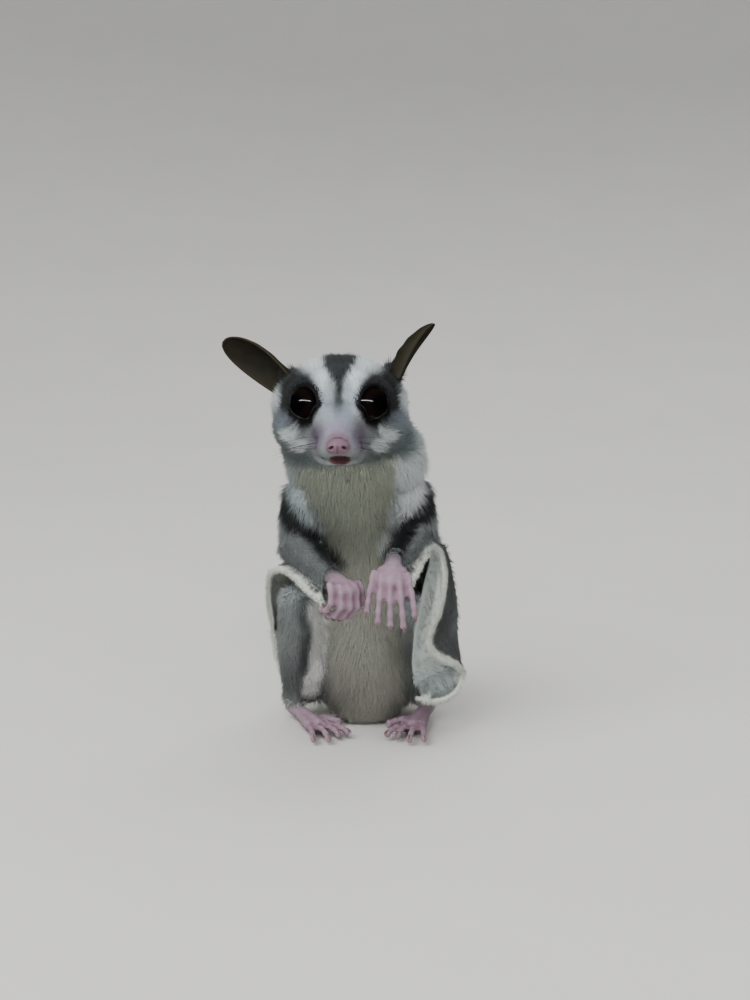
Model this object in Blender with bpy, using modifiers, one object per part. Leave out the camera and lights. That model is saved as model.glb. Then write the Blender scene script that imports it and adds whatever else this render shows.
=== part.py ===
"""Sugar glider, a life-size still model that sits up with its forefeet held together.

Metres, +Z up, and the animal faces -Y. Right and left in the names are the animal's own, so its
right side is at -X. The origin is the middle of the flat that it sits on. Each body region is blended
from plain forms, cut back from its neighbours by a thin gap, and parted at the joints.
"""

import math
import random

import bmesh
import bpy
from mathutils import Matrix, Vector

MM = 0.001

# Gaps and mesh fineness
GAP = 0.32 * MM
HALF_GAP = 0.5 * GAP
ROUGH_CUT = 1.5 * MM
FLESH_VOXEL = 0.6 * MM
COARSE_VOXEL = 0.8 * MM
NOSE_VOXEL = 0.35 * MM

# Triangles that each blended region keeps
TORSO_TRIANGLES = 800
NECK_TRIANGLES = 260
HEAD_TRIANGLES = 2300
NOSE_TRIANGLES = 130
ARM_TRIANGLES = 270
LEG_TRIANGLES = 350

# Spine from the seat to the nape: the middle (x, y, z), the half width and the half depth, in mm
SPINE = [
    ((0.0, 0.4, -1.2), 9.6, 10.6),
    ((0.0, 0.8, 6.5), 13.0, 14.6),
    ((0.0, 1.2, 18.0), 13.8, 17.2),
    ((-0.3, 1.4, 31.0), 14.2, 17.9),
    ((-1.0, 0.4, 43.0), 14.4, 17.9),
    ((-1.7, -2.6, 54.0), 14.6, 17.2),
    ((-2.8, -6.4, 64.0), 15.8, 16.0),
    ((-4.2, -10.2, 73.5), 18.2, 14.2),
    ((-5.8, -13.2, 82.0), 17.0, 13.0),
    ((-6.6, -15.5, 91.0), 12.0, 10.0),
]
TORSO_TOP = ((-4.0, -10.0, 66.5), (-0.12, -0.25, 1.0))
NECK_TOP = ((-6.2, -13.0, 76.6), (-0.12, -0.42, 1.0))

# Head: the middle of the skull, and sizes in its own frame (side, forward, up), in mm
HEAD_CENTRE = (-6.7, -17.0, 88.0)
SKULL_HALF_WIDTH = 16.0
EYE_SIDE = 7.7
EYE_FORWARD = 9.8
EYE_UP = 0.1
EYE_RADIUS = 4.7
EYE_AIM = (0.60, -0.79, 0.08)
LID_OUT = 2.2
LID_RADIUS = 4.55
LID_THICK = 1.1
MOUTH_GROOVE_OUT = 0.75
NOSE_FORWARD = 23.2
NOSE_UP = -9.2

# Ears: root, tip, the way the cup opens, and how far it is rolled at root and tip, in degrees
EAR_RIGHT = ((-20.0, -11.0, 91.6), (-37.2, -8.5, 102.8), (-0.30, -0.80, -0.55))
EAR_LEFT = ((7.0, -11.5, 92.8), (17.8, -4.5, 107.0), (0.79, -0.18, -0.58))
EAR_HALF_WIDTH = 6.4
EAR_ROLL = (100, 40)
EAR_WALL = 0.85

# Limb joints
SHOULDER_RIGHT, ELBOW_RIGHT, WRIST_RIGHT = (-15.8, -10.5, 61.5), (-18.6, -10.5, 50.0), (-9.0, -31.0, 45.0)
SHOULDER_LEFT, ELBOW_LEFT, WRIST_LEFT = (11.2, -10.5, 61.5), (14.4, -10.0, 52.0), (7.2, -31.0, 49.5)
HIP_RIGHT, KNEE_RIGHT, ANKLE_RIGHT = (-13.5, 4.0, 15.5), (-18.0, -13.0, 34.5), (-20.0, -2.5, 6.8)
HIP_LEFT, KNEE_LEFT, ANKLE_LEFT = (13.0, 4.0, 15.5), (14.6, -12.5, 31.5), (16.6, -2.5, 6.8)
TOES_RIGHT, TOES_LEFT = (-12.6, -17.0), (12.2, -17.5)

# Forefeet: the middle of the palm, the way across it, the way the fingers hang, the bends of a finger's
# three joints in degrees, how far the fingers fan out and how far they lean across
HAND_RIGHT = ((-5.6, -36.4, 43.4), (0.93, 0.30, -0.1), (0.1, -0.1, -1.0), (14, 30, 26), 0.12, 0.12)
HAND_LEFT = ((6.4, -36.6, 46.4), (0.98, -0.05, 0.0), (0.05, -0.12, -1.0), (6, 10, 10), 0.13, 0.02)
PALM_RADII = (4.9, 4.5, 2.5)
FINGER_LENGTHS = (4.0, 3.8, 2.9)
FINGER_SHARES = (0.80, 0.96, 1.0, 1.04, 0.84)
FINGER_RADIUS = 1.28
KNUCKLE_STEP = 1.95

# Hind feet: the lengths of a toe's joints, each toe's share of them, and the toes' place across the ball
TOE_LENGTHS = (3.4, 3.0, 2.4)
TOE_BENDS = (0, 12, 10)
TOES = ((-1.5, 0.80), (-0.6, 0.84), (0.45, 1.12), (1.5, 1.0))
TOE_RADIUS = 1.3
BIG_TOE_LENGTHS = (2.8, 2.6, 2.0)
BIG_TOE_BENDS = (0, 6, 8)
BIG_TOE_RADIUS = 1.45
DIGIT_PROFILE = (1.0, 1.05, 0.96, 0.90, 1.10, 0.55)

# Flat under the rump: how far its middle triangle reaches from the origin to each side, how much higher
# its rim is, and the height under which a point counts as lying on the floor
SEAT_REACH = 3.6
SEAT_RAISE = 0.12 * MM
LEVEL = 0.002 * MM

# Gliding skin: its thickness, the radius of its fringe, and for each side the points of its root in the
# body, of the fold between, and of its free edge, from the wrist to the ankle
SHEET_HALF_THICK = 0.5
FRINGE_RADIUS = 1.15
SHEET_RIGHT = (
    [(-10.2, -29.5, 44), (-13.2, -23, 45), (-17, -14, 46), (-17.5, -6, 43), (-16.5, 0, 38), (-15.5, 4, 31),
     (-15, 6, 23), (-16, 5, 15), (-18, 1, 10)],
    [(-11, -31.5, 41.5), (-15, -24.2, 43), (-20, -14.5, 44.8), (-22.4, -7.5, 43.2), (-23.6, -1.5, 38.4),
     (-23.8, 1.5, 31), (-23.2, 3.5, 23), (-22.4, 3, 16), (-21, -1.0, 10.2)],
    [(-10.6, -33.5, 38.8), (-15.6, -25.6, 41.0), (-20.6, -16.5, 43.6), (-24.4, -11.0, 43.0),
     (-26.2, -5.5, 39.4), (-26.4, -2.5, 32.5), (-25.6, 0, 25), (-24.8, 0, 18), (-22.6, -3.0, 11.4)],
)
SHEET_LEFT = (
    [(8.6, -29.5, 48.4), (11.6, -23, 49.5), (14.5, -11, 48.5), (15, -3, 45.5), (15.5, 1.5, 40),
     (15.5, 4, 34), (15.5, 5.5, 28.5), (15.5, 6, 24), (16, 5.5, 20), (16.5, 4.5, 16.5), (17, 2.5, 13.5),
     (17.2, 0, 11), (17.2, -2.4, 9.5)],
    [(9.9, -31.2, 45.4), (13.0, -24.6, 48.0), (18.6, -13.0, 50.2), (21.2, -8.0, 47.4), (22.8, -7.0, 40.5),
     (24.0, -6.8, 34), (24.2, -7.0, 28.6), (24.2, -7.4, 24.6), (24.6, -7.4, 21), (25.0, -6.6, 17.6),
     (24.6, -5.6, 14.2), (23.0, -4.4, 11.4), (19.8, -4.2, 9.4)],
    [(10.6, -32.6, 42.2), (13.8, -26.0, 46.4), (17.6, -17.2, 50.2), (19.9, -15.6, 45.6), (20.0, -16.8, 39.4),
     (18.6, -18.8, 33.8), (16.4, -21.2, 29.0), (16.0, -22.2, 25.0), (19.0, -22.4, 22.0),
     (22.8, -20.4, 19.8), (25.2, -16.0, 16.4), (24.0, -11.6, 12.4), (20.4, -7.8, 9.4)],
)

# Tail: the line of its middle, the radius of its core, where it is parted, and the locks of its coat. Each
# lock has three rings and a tip: its profile is their share of the full width, and its keel how far each
# reaches down into the coat
TAIL_LINE = [
    (0.0, 10.0, 12.5), (0.0, 21.0, 10.6), (-2.0, 36.0, 9.6), (-6.0, 54.0, 9.4), (-10.0, 73.0, 9.4),
    (-12.0, 92.0, 9.4), (-10.0, 111.0, 9.4), (-4.0, 129.0, 9.2), (4.0, 146.0, 8.6), (12.0, 160.0, 7.6),
]
TAIL_CORE = [8.0, 6.6, 5.4, 5.0, 5.0, 5.0, 5.0, 4.8, 4.0, 2.2]
TAIL_CUTS = (0.34, 0.68)
LOCK_ROWS = 6
LOCKS_IN_ROW = 5
LOCK_LENGTH = 41.0
LOCK_WIDTH = 11.4
LOCK_THICK = 2.4
LOCK_LIFT = 5.2
LOCK_SINK = 1.8
LOCK_SPAN = (0.08, 0.93)
LOCK_PROFILE = (0.7, 1.0, 0.8)
LOCK_KEEL = (1.0, 3.6, 2.6)
SEED = 7

FUR_GREY = ((0.30, 0.32, 0.33), 0.85)
SKIN_PINK = ((0.62, 0.40, 0.42), 0.50)
SKIN_DARK = ((0.10, 0.09, 0.085), 0.60)
EYE_BLACK = ((0.008, 0.008, 0.010), 0.05)


def at(x, y, z):
    """A point given in millimetres."""
    return Vector((x, y, z)) * MM


def mix(a, b, share):
    return a + (b - a) * share


# Scene and object helpers


def clear_scene():
    for obj in list(bpy.data.objects):
        bpy.data.objects.remove(obj)


def make_material(name, finish):
    colour, roughness = finish
    material = bpy.data.materials.new(name)
    material.use_nodes = True
    shader = material.node_tree.nodes["Principled BSDF"]
    shader.inputs["Base Color"].default_value = (*colour, 1.0)
    shader.inputs["Roughness"].default_value = roughness
    return material


def add_object(name, mesh):
    obj = bpy.data.objects.new(name, mesh)
    bpy.context.scene.collection.objects.link(obj)
    return obj


def mesh_object(name, bm):
    mesh = bpy.data.meshes.new(name)
    bm.to_mesh(mesh)
    bm.free()
    return add_object(name, mesh)


def settle(obj):
    """Applies the object's modifiers to its mesh."""
    graph = bpy.context.evaluated_depsgraph_get()
    obj.data = bpy.data.meshes.new_from_object(obj.evaluated_get(graph))
    obj.modifiers.clear()
    return obj


def remove(objects):
    for obj in objects:
        bpy.data.objects.remove(obj)


def copy_of(obj, name):
    twin = obj.copy()
    twin.data = obj.data.copy()
    twin.name = name
    bpy.context.scene.collection.objects.link(twin)
    return twin


def edited(obj, change):
    """Runs change on the object's mesh as a bmesh."""
    bm = bmesh.new()
    bm.from_mesh(obj.data)
    change(bm)
    bm.to_mesh(obj.data)
    bm.free()
    return obj


def joined(name, pieces):
    """The pieces' meshes in one object, not yet united."""
    bm = bmesh.new()
    for piece in pieces:
        bm.from_mesh(piece.data)
    remove(pieces)
    return mesh_object(name, bm)


# Shapes


def ellipsoid(centre, radii, segments=24, turn=None):
    """A closed ball stretched to three radii, all in metres."""
    bm = bmesh.new()
    bmesh.ops.create_uvsphere(bm, u_segments=segments, v_segments=segments * 2 // 3, radius=1.0)
    place = Matrix.Translation(centre) @ (turn or Matrix.Identity(4)) @ Matrix.Diagonal((*radii, 1.0))
    bmesh.ops.transform(bm, matrix=place, verts=bm.verts)
    return mesh_object("form", bm)


def smooth_line(points, steps):
    """A Catmull-Rom line through the points, with steps stretches between each two. Points are tuples."""
    ends = [2 * Vector(points[0]) - Vector(points[1]), 2 * Vector(points[-1]) - Vector(points[-2])]
    knots = [ends[0], *(Vector(p) for p in points), ends[1]]
    line = []
    for i in range(1, len(knots) - 2):
        a, b, c, d = knots[i - 1 : i + 3]
        for s in range(steps):
            t = s / steps
            bow = (2 * a - 5 * b + 4 * c - d) * t**2
            twist = (3 * b - a - 3 * c + d) * t**3
            line.append(0.5 * (2 * b + (c - a) * t + bow + twist))
    return [*line, knots[-2]]


def smooth_values(values, steps):
    """The same rule for a list of numbers."""
    return [p.x for p in smooth_line([(v, 0.0, 0.0) for v in values], steps)]


def frames(line, up):
    """For each point of a line: the point, and the two directions across it, the first level with up."""
    found = []
    for i, point in enumerate(line):
        along = (line[min(i + 1, len(line) - 1)] - line[max(i - 1, 0)]).normalized()
        across = along.cross(up).normalized()
        found.append((point, across, across.cross(along).normalized()))
    return found


def ring(centre, across, over, width, depth, sides, turn=0.0):
    points = []
    for i in range(sides):
        angle = turn + math.tau * i / sides
        points.append(centre + across * width * math.cos(angle) + over * depth * math.sin(angle))
    return points


def loft(name, rings, tip=None, turn_at=None):
    """A closed body through rings with as many points each, ended by a cap or, where given, a tip.

    Past the place turn_at in a ring the quads are split along their other diagonal, so that the two faces
    of a thin sheet are triangulated alike.
    """
    bm = bmesh.new()
    rows = [[bm.verts.new(p) for p in points] for points in rings]
    count = len(rows[0])
    for low, high in zip(rows, rows[1:]):
        for i in range(count):
            j = (i + 1) % count
            if turn_at is None:
                bm.faces.new((low[i], low[j], high[j], high[i]))
            elif i < turn_at:
                bm.faces.new((low[i], low[j], high[j]))
                bm.faces.new((low[i], high[j], high[i]))
            else:
                bm.faces.new((low[i], low[j], high[i]))
                bm.faces.new((low[j], high[j], high[i]))
    bm.faces.new(list(reversed(rows[0])))
    if tip is None:
        bm.faces.new(rows[-1])
    else:
        point = bm.verts.new(tip)
        for i, vert in enumerate(rows[-1]):
            bm.faces.new((vert, rows[-1][(i + 1) % count], point))
    bmesh.ops.recalc_face_normals(bm, faces=bm.faces)
    bmesh.ops.triangulate(bm, faces=[face for face in bm.faces if len(face.verts) > 3])
    return mesh_object(name, bm)


def tube(points, radii, steps=4, sides=12, up=Vector((0, 0, 1)), flat=1.0, tip=False):
    """A limb or digit: a smooth line of points in metres with a radius at each. flat squeezes its depth."""
    line = smooth_line(points, steps)
    sizes = smooth_values(radii, steps)
    rings = [
        ring(point, across, over, size, size * flat, sides)
        for (point, across, over), size in zip(frames(line, up), sizes)
    ]
    if tip:
        return loft("form", rings[:-1], line[-1])
    return loft("form", rings)


# Joining, cutting and parting


def thinned(obj, triangles):
    """Takes triangles away evenly until about that many are left."""
    thin = obj.modifiers.new("Thin", "DECIMATE")
    thin.ratio = min(1.0, triangles / len(obj.data.polygons))
    return settle(obj)


def melded(name, pieces, voxel, rounds):
    """The pieces blended into one soft closed skin of fine triangles."""
    obj = joined(name, pieces)
    blend = obj.modifiers.new("Blend", "REMESH")
    blend.mode = "VOXEL"
    blend.voxel_size = voxel
    soften = obj.modifiers.new("Soften", "SMOOTH")
    soften.factor = 0.5
    soften.iterations = rounds
    obj.modifiers.new("Split", "TRIANGULATE")
    return settle(obj)


def united(name, pieces, solver="EXACT"):
    """The closed pieces as one body, by a Boolean union on their collection."""
    first, *others = pieces
    first.name = name
    group = bpy.data.collections.new("pieces")
    for obj in others:
        group.objects.link(obj)
    union = first.modifiers.new("Unite", "BOOLEAN")
    union.operation = "UNION"
    union.operand_type = "COLLECTION"
    union.collection = group
    union.solver = solver
    settle(first)
    remove(others)
    bpy.data.collections.remove(group)
    return keep_largest(first)


def carved(obj, cutters, solver="EXACT"):
    """Takes the cutters out of the object. The cutters are used up."""
    for cutter in cutters:
        cut = obj.modifiers.new("Cut", "BOOLEAN")
        cut.operation = "DIFFERENCE"
        cut.solver = solver
        cut.object = cutter
        settle(obj)
    remove(cutters)
    return keep_largest(obj)


def swollen(obj, by=GAP):
    """A copy of the object, larger by the gap all round, to cut its neighbours with."""
    twin = copy_of(obj, "cutter")
    grow = twin.modifiers.new("Grow", "DISPLACE")
    grow.strength = by
    grow.mid_level = 0.0
    return settle(twin)


def cleared(obj, neighbours, solver="EXACT"):
    """Cuts the object back from its neighbours by the gap."""
    return carved(obj, [swollen(n) for n in neighbours], solver)


def keep_side(obj, point, normal):
    """Cuts by a plane, keeps the side that the normal points to, and closes the cut."""

    def change(bm):
        whole = [*bm.verts, *bm.edges, *bm.faces]
        bmesh.ops.bisect_plane(bm, geom=whole, dist=1e-7, plane_co=point, plane_no=normal, clear_inner=True)
        rim = [edge for edge in bm.edges if edge.is_boundary]
        bmesh.ops.holes_fill(bm, edges=rim, sides=0)
        bmesh.ops.triangulate(bm, faces=[f for f in bm.faces if len(f.verts) > 3])
        bmesh.ops.recalc_face_normals(bm, faces=bm.faces)

    return edited(obj, change)


def keep_largest(obj):
    """Keeps only the closed surface with the most points."""

    def change(bm):
        seen, islands = set(), []
        for start in bm.verts:
            if start in seen:
                continue
            stack, island = [start], []
            seen.add(start)
            while stack:
                vert = stack.pop()
                island.append(vert)
                for edge in vert.link_edges:
                    other = edge.other_vert(vert)
                    if other not in seen:
                        seen.add(other)
                        stack.append(other)
            islands.append(island)
        islands.sort(key=lambda island: -len(island))
        loose = [vert for island in islands[1:] for vert in island]
        bmesh.ops.delete(bm, geom=loose, context="VERTS")

    return edited(obj, change)


def region(whole, name, triangles, planes):
    """One region of a blended body, between planes (point, direction to the side kept), a gap apart."""
    piece = copy_of(whole, name)
    for point, inward in planes:
        keep_side(piece, point - inward * ROUGH_CUT, inward)
    thinned(piece, triangles)
    for point, inward in planes:
        keep_side(piece, point + inward * HALF_GAP, inward)
    return keep_largest(piece)


def parted(whole, names, planes):
    """Parts a body at planes (point, direction) into the named lengths, a gap apart. The whole is used up."""
    lengths = []
    for i, name in enumerate(names):
        piece = copy_of(whole, name)
        if i > 0:
            point, along = planes[i - 1]
            keep_side(piece, point + along * HALF_GAP, along)
        if i < len(planes):
            point, along = planes[i]
            keep_side(piece, point - along * HALF_GAP, -along)
        lengths.append(keep_largest(piece))
    remove([whole])
    return lengths


def levelled(obj):
    """Cuts off what lies below the floor, which leaves small flats to rest on."""
    return keep_side(obj, Vector((0, 0, 0)), Vector((0, 0, 1)))


# Trunk, neck and head


def plane(place):
    """A cutting plane from a named point in mm and a direction."""
    point, along = place
    return at(*point), Vector(along).normalized()


def opposite(cutting_plane):
    point, along = cutting_plane
    return point, -along


def spine_form():
    """The trunk as a loft of upright ovals along the spine."""
    line = smooth_line([at(*middle) for middle, _, _ in SPINE], 3)
    widths = smooth_values([width * MM for _, width, _ in SPINE], 3)
    depths = smooth_values([depth * MM for _, _, depth in SPINE], 3)
    rings = [
        ring(point, across, over, width, depth, 28)
        for (point, across, over), width, depth in zip(frames(line, Vector((0, 1, 0))), widths, depths)
    ]
    return loft("form", rings)


def head_point(side, forward, up):
    """A point of the head's own frame, in mm, as a place in the model."""
    return at(HEAD_CENTRE[0] + side, HEAD_CENTRE[1] - forward, HEAD_CENTRE[2] + up)


def head_form(side, forward, up, radii):
    return ellipsoid(head_point(side, forward, up), Vector(radii) * MM)


def eye_place(sign):
    return head_point(sign * EYE_SIDE, EYE_FORWARD, EYE_UP)


def eye_aim(sign):
    return Vector((sign * EYE_AIM[0], EYE_AIM[1], EYE_AIM[2])).normalized()


def lid_ring(sign):
    """The rim of lid round an eye: a thin closed ring that stands a little out of the face."""
    aim = eye_aim(sign)
    side = aim.cross(Vector((0, 0, 1))).normalized()
    over = side.cross(aim).normalized()
    middle = eye_place(sign) + aim * LID_OUT * MM
    bm = bmesh.new()
    rows = []
    count, sides = 28, 8
    for i in range(count):
        angle = math.tau * i / count
        out = side * math.cos(angle) + over * math.sin(angle)
        centre = middle + out * LID_RADIUS * MM
        rows.append([bm.verts.new(p) for p in ring(centre, out, aim, LID_THICK * MM, LID_THICK * MM, sides)])
    for low, high in zip(rows, rows[1:] + rows[:1]):
        for k in range(sides):
            m = (k + 1) % sides
            bm.faces.new((low[k], low[m], high[m], high[k]))
    bmesh.ops.recalc_face_normals(bm, faces=bm.faces)
    return mesh_object("lid", bm)


def mouth_curve(radii, down=0.0, out=0.0):
    """A thin tube from one corner of the mouth under the nose to the other, moved down and out by so much."""
    half = [(8.0, 10.0, -11.0), (6.0, 14.2, -12.3), (3.3, 18.2, -12.9), (0.0, 20.3, -12.6)]
    points = [(-side, forward, up) for side, forward, up in half] + half[-2::-1]
    places = []
    for side, forward, up in points:
        away = Vector((side, 0.5 * forward, 0.0)).normalized() * out
        places.append(head_point(side + away.x, forward + away.y, up - down))
    return tube(places, [r * MM for r in radii], 3, 6)


def head_forms():
    """Skull, brow, bridge, cheeks, muzzle, whisker pads and chin."""
    forms = [
        (0.0, -1.0, 0.2, (SKULL_HALF_WIDTH, 14.5, 12.0)),
        (0.0, 12.0, -5.0, (6.6, 9.0, 6.6)),
        (0.0, 17.5, -8.2, (4.6, 6.2, 4.4)),
        (0.0, 13.8, -12.4, (3.8, 6.6, 2.8)),
        (0.0, 5.0, -9.5, (11.0, 10.0, 6.5)),
        (0.0, 7.5, 4.2, (8.8, 7.0, 6.2)),
        (0.0, 13.5, -2.8, (4.0, 6.2, 4.2)),
    ]
    for sign in (-1, 1):
        forms += [
            (sign * 9.6, 2.5, -6.5, (7.8, 9.5, 7.6)),
            (sign * 13.0, -2.0, -1.5, (4.8, 8.0, 7.5)),
            (sign * 2.8, 18.0, -10.0, (3.1, 4.3, 2.8)),
            (sign * 7.8, 8.3, -0.2, (6.3, 5.5, 6.5)),
        ]
    return [head_form(*form) for form in forms]


def rims():
    """The lids and the two lips."""
    radii = [0.4, 0.9, 0.95, 1.0, 0.95, 0.9, 0.4]
    lips = [mouth_curve(radii, down, out) for down, out in ((-0.9, 0.0), (1.0, -0.9))]
    return [lid_ring(sign) for sign in (-1, 1)] + lips


def seated(obj):
    """Gives the rump one flat triangle round the origin to sit on. The rest of its flat is a little higher."""

    def level_faces(bm):
        return [face for face in bm.faces if all(vert.co.z < LEVEL for vert in face.verts)]

    def change(bm):
        bmesh.ops.dissolve_faces(bm, faces=level_faces(bm))
        for turn in (30, 150, 270):
            way = Vector((math.cos(math.radians(turn)), math.sin(math.radians(turn)), 0.0))
            flat = level_faces(bm)
            edges = {edge for face in flat for edge in face.edges}
            verts = {vert for face in flat for vert in face.verts}
            bmesh.ops.bisect_plane(
                bm, geom=[*flat, *edges, *verts], dist=1e-7, plane_co=way * SEAT_REACH * MM, plane_no=way
            )
        corner = 2.0 * SEAT_REACH * MM
        for vert in {vert for face in level_faces(bm) for vert in face.verts}:
            if vert.co.length > corner + LEVEL:
                vert.co.z = SEAT_RAISE
        bmesh.ops.triangulate(bm, faces=[f for f in bm.faces if len(f.verts) > 3])

    return edited(obj, change)


def make_body():
    """Torso, neck and head, blended as one skin, levelled at the seat and parted above and below the neck."""
    soft = melded("body", [spine_form(), *head_forms()], COARSE_VOXEL, 14)
    whole = melded("body", [soft, *rims()], FLESH_VOXEL, 4)
    low, high = plane(TORSO_TOP), plane(NECK_TOP)
    torso = seated(levelled(region(whole, "torso", TORSO_TRIANGLES, [opposite(low)])))
    neck = region(whole, "neck", NECK_TRIANGLES, [low, opposite(high)])
    head = region(whole, "head", HEAD_TRIANGLES, [high])
    remove([whole])
    return torso, neck, head


def make_nose():
    """The bare nose pad with its two nostrils."""
    pad = [
        head_form(0.0, NOSE_FORWARD, NOSE_UP, (2.6, 1.9, 1.9)),
        head_form(-1.3, NOSE_FORWARD - 0.2, NOSE_UP - 0.2, (1.6, 1.8, 1.6)),
        head_form(1.3, NOSE_FORWARD - 0.2, NOSE_UP - 0.2, (1.6, 1.8, 1.6)),
    ]
    nose = thinned(melded("nose", pad, NOSE_VOXEL, 3), NOSE_TRIANGLES)
    nostrils = []
    for sign in (-1, 1):
        turn = Matrix.Rotation(sign * math.radians(-35), 4, "Y")
        place = head_point(sign * 1.7, NOSE_FORWARD + 1.3, NOSE_UP - 0.35)
        nostrils.append(ellipsoid(place, Vector((0.75, 1.1, 0.45)) * MM, 8, turn))
    return carved(nose, nostrils)


def finish_head(head, nose, eyes):
    """Cuts the sockets of the eyes, the seat of the nose and the groove of the mouth."""
    groove = mouth_curve([0.3, 0.6, 0.7, 0.7, 0.7, 0.6, 0.3], out=MOUTH_GROOVE_OUT)
    return carved(head, [swollen(eye) for eye in eyes] + [swollen(nose), groove])


def make_eye(name, sign):
    """A round eye, turned so that its pole looks outward."""
    turn = eye_aim(sign).to_track_quat("Z", "Y").to_matrix().to_4x4()
    eye = ellipsoid(eye_place(sign), Vector((1, 1, 1)) * EYE_RADIUS * MM, 14, turn)
    eye.name = name
    return eye


def make_ear(name, place):
    """A thin cupped ear: a curved leaf, rolled into a funnel at its root."""
    rows, columns = 9, 5
    root, tip = at(*place[0]), at(*place[1])
    along = (tip - root).normalized()
    across = along.cross(Vector(place[2])).normalized()
    facing = across.cross(along).normalized()
    widest = 0.45
    bm = bmesh.new()
    bmesh.ops.create_grid(bm, x_segments=columns, y_segments=rows, size=1.0)
    for vert in bm.verts:
        v, u = vert.co.x, 0.5 * (vert.co.y + 1.0)
        widen = 0.60 + 0.40 * math.sin(0.5 * math.pi * min(u / widest, 1.0))
        taper = math.sqrt(max(0.0, 1.0 - (max(u - widest, 0.0) / (1.0 - widest)) ** 2))
        half = EAR_HALF_WIDTH * MM * widen * taper
        bend = math.radians(mix(EAR_ROLL[0], EAR_ROLL[1], u))
        reach = half / bend
        back = reach * (1.0 - math.cos(v * bend)) - 0.35 * half
        sway = 1.2 * MM * math.sin(math.pi * u)
        vert.co = mix(root, tip, u) + across * reach * math.sin(v * bend) + facing * (back - sway)
    bmesh.ops.remove_doubles(bm, verts=bm.verts, dist=0.02 * MM)
    bmesh.ops.triangulate(bm, faces=bm.faces)
    ear = mesh_object(name, bm)
    shell = ear.modifiers.new("Wall", "SOLIDIFY")
    shell.thickness = EAR_WALL * MM
    shell.offset = 0.0
    return settle(ear)


# Limbs


def claw(root, heading, floorward):
    """A small hooked claw."""
    middle = root + heading * 1.3 * MM - floorward * 0.15 * MM
    end = middle + heading * 0.8 * MM + floorward * 0.55 * MM
    side = heading.cross(floorward).normalized()
    return tube([root, middle, end], [0.45 * MM, 0.36 * MM, 0.1 * MM], 1, 4, up=side, tip=True)


def digit(knuckle, heading, palm, lengths, bends, radius, clawed=True):
    """A finger or toe of three joints that bends towards the palm side, with a padded tip and a claw."""
    heading, palm = heading.normalized(), palm.normalized()
    bend_axis = heading.cross(palm).normalized()
    points = [knuckle - heading * 2.2 * MM, knuckle]
    for length, bend in zip(lengths, bends):
        heading = Matrix.Rotation(math.radians(bend), 3, bend_axis) @ heading
        points.append(points[-1] + heading * length * MM)
    pad = points[-1]
    radii = [share * radius * MM for share in DIGIT_PROFILE]
    finger = tube([*points, pad + heading * 0.9 * MM], radii, 1, 6, up=bend_axis)
    if not clawed:
        return [finger]
    palm = bend_axis.cross(heading)
    return [finger, claw(pad - palm * radius * 0.55 * MM - heading * 0.5 * MM, heading, palm)]


def make_hand(name, wrist, pose):
    """A forefoot: a palm and five long digits that hang from its knuckles and curl in."""
    middle, across, fingers_down, bends, spread, lean = pose
    wrist, middle = at(*wrist), at(*middle)
    heading = (middle - wrist).normalized()
    side = Vector(across).normalized()
    palm_way = side.cross(heading).normalized()
    side = heading.cross(palm_way).normalized()
    turn = Matrix((side, heading, palm_way)).transposed().to_4x4()
    pieces = [
        ellipsoid(middle, Vector(PALM_RADII) * MM, 12, turn),
        tube([wrist, mix(wrist, middle, 0.5), middle], [2.7 * MM, 2.9 * MM, 2.8 * MM], 1, 8, up=palm_way),
    ]
    down = Vector(fingers_down).normalized()
    for finger, share in enumerate(FINGER_SHARES):
        place = finger - 2.0
        knuckle = middle + side * place * KNUCKLE_STEP * MM + heading * (3.0 - 0.35 * place**2) * MM
        fan = (down + side * (place * spread + lean)).normalized()
        first = mix(heading, fan, 0.62)
        lengths = [length * share for length in FINGER_LENGTHS]
        pieces += digit(knuckle, first, palm_way, lengths, bends, FINGER_RADIUS)
    return united(name, pieces, "MANIFOLD")


def make_arm(side_name, shoulder, elbow, wrist):
    """Upper arm and forearm, blended and parted at the elbow."""
    shoulder, elbow, wrist = at(*shoulder), at(*elbow), at(*wrist)
    pieces = [
        ellipsoid(shoulder, Vector((7.2, 8.6, 9.4)) * MM),
        tube([shoulder, mix(shoulder, elbow, 0.5), elbow], [7.2 * MM, 6.8 * MM, 5.6 * MM], sides=16),
        ellipsoid(elbow, Vector((5.4, 5.8, 5.4)) * MM),
        tube(
            [elbow, mix(elbow, wrist, 0.35), mix(elbow, wrist, 0.7), wrist],
            [5.3 * MM, 4.9 * MM, 3.7 * MM, 2.9 * MM],
            sides=16,
        ),
    ]
    arm = melded("arm", pieces, FLESH_VOXEL, 8)
    wrist_way = (wrist - elbow).normalized()
    keep_side(arm, wrist - wrist_way * 0.6 * MM, -wrist_way)
    thinned(arm, ARM_TRIANGLES)
    fold = ((elbow - shoulder).normalized() + wrist_way).normalized()
    return parted(arm, ["upper_arm_" + side_name, "forearm_" + side_name], [(elbow, fold)])


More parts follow.
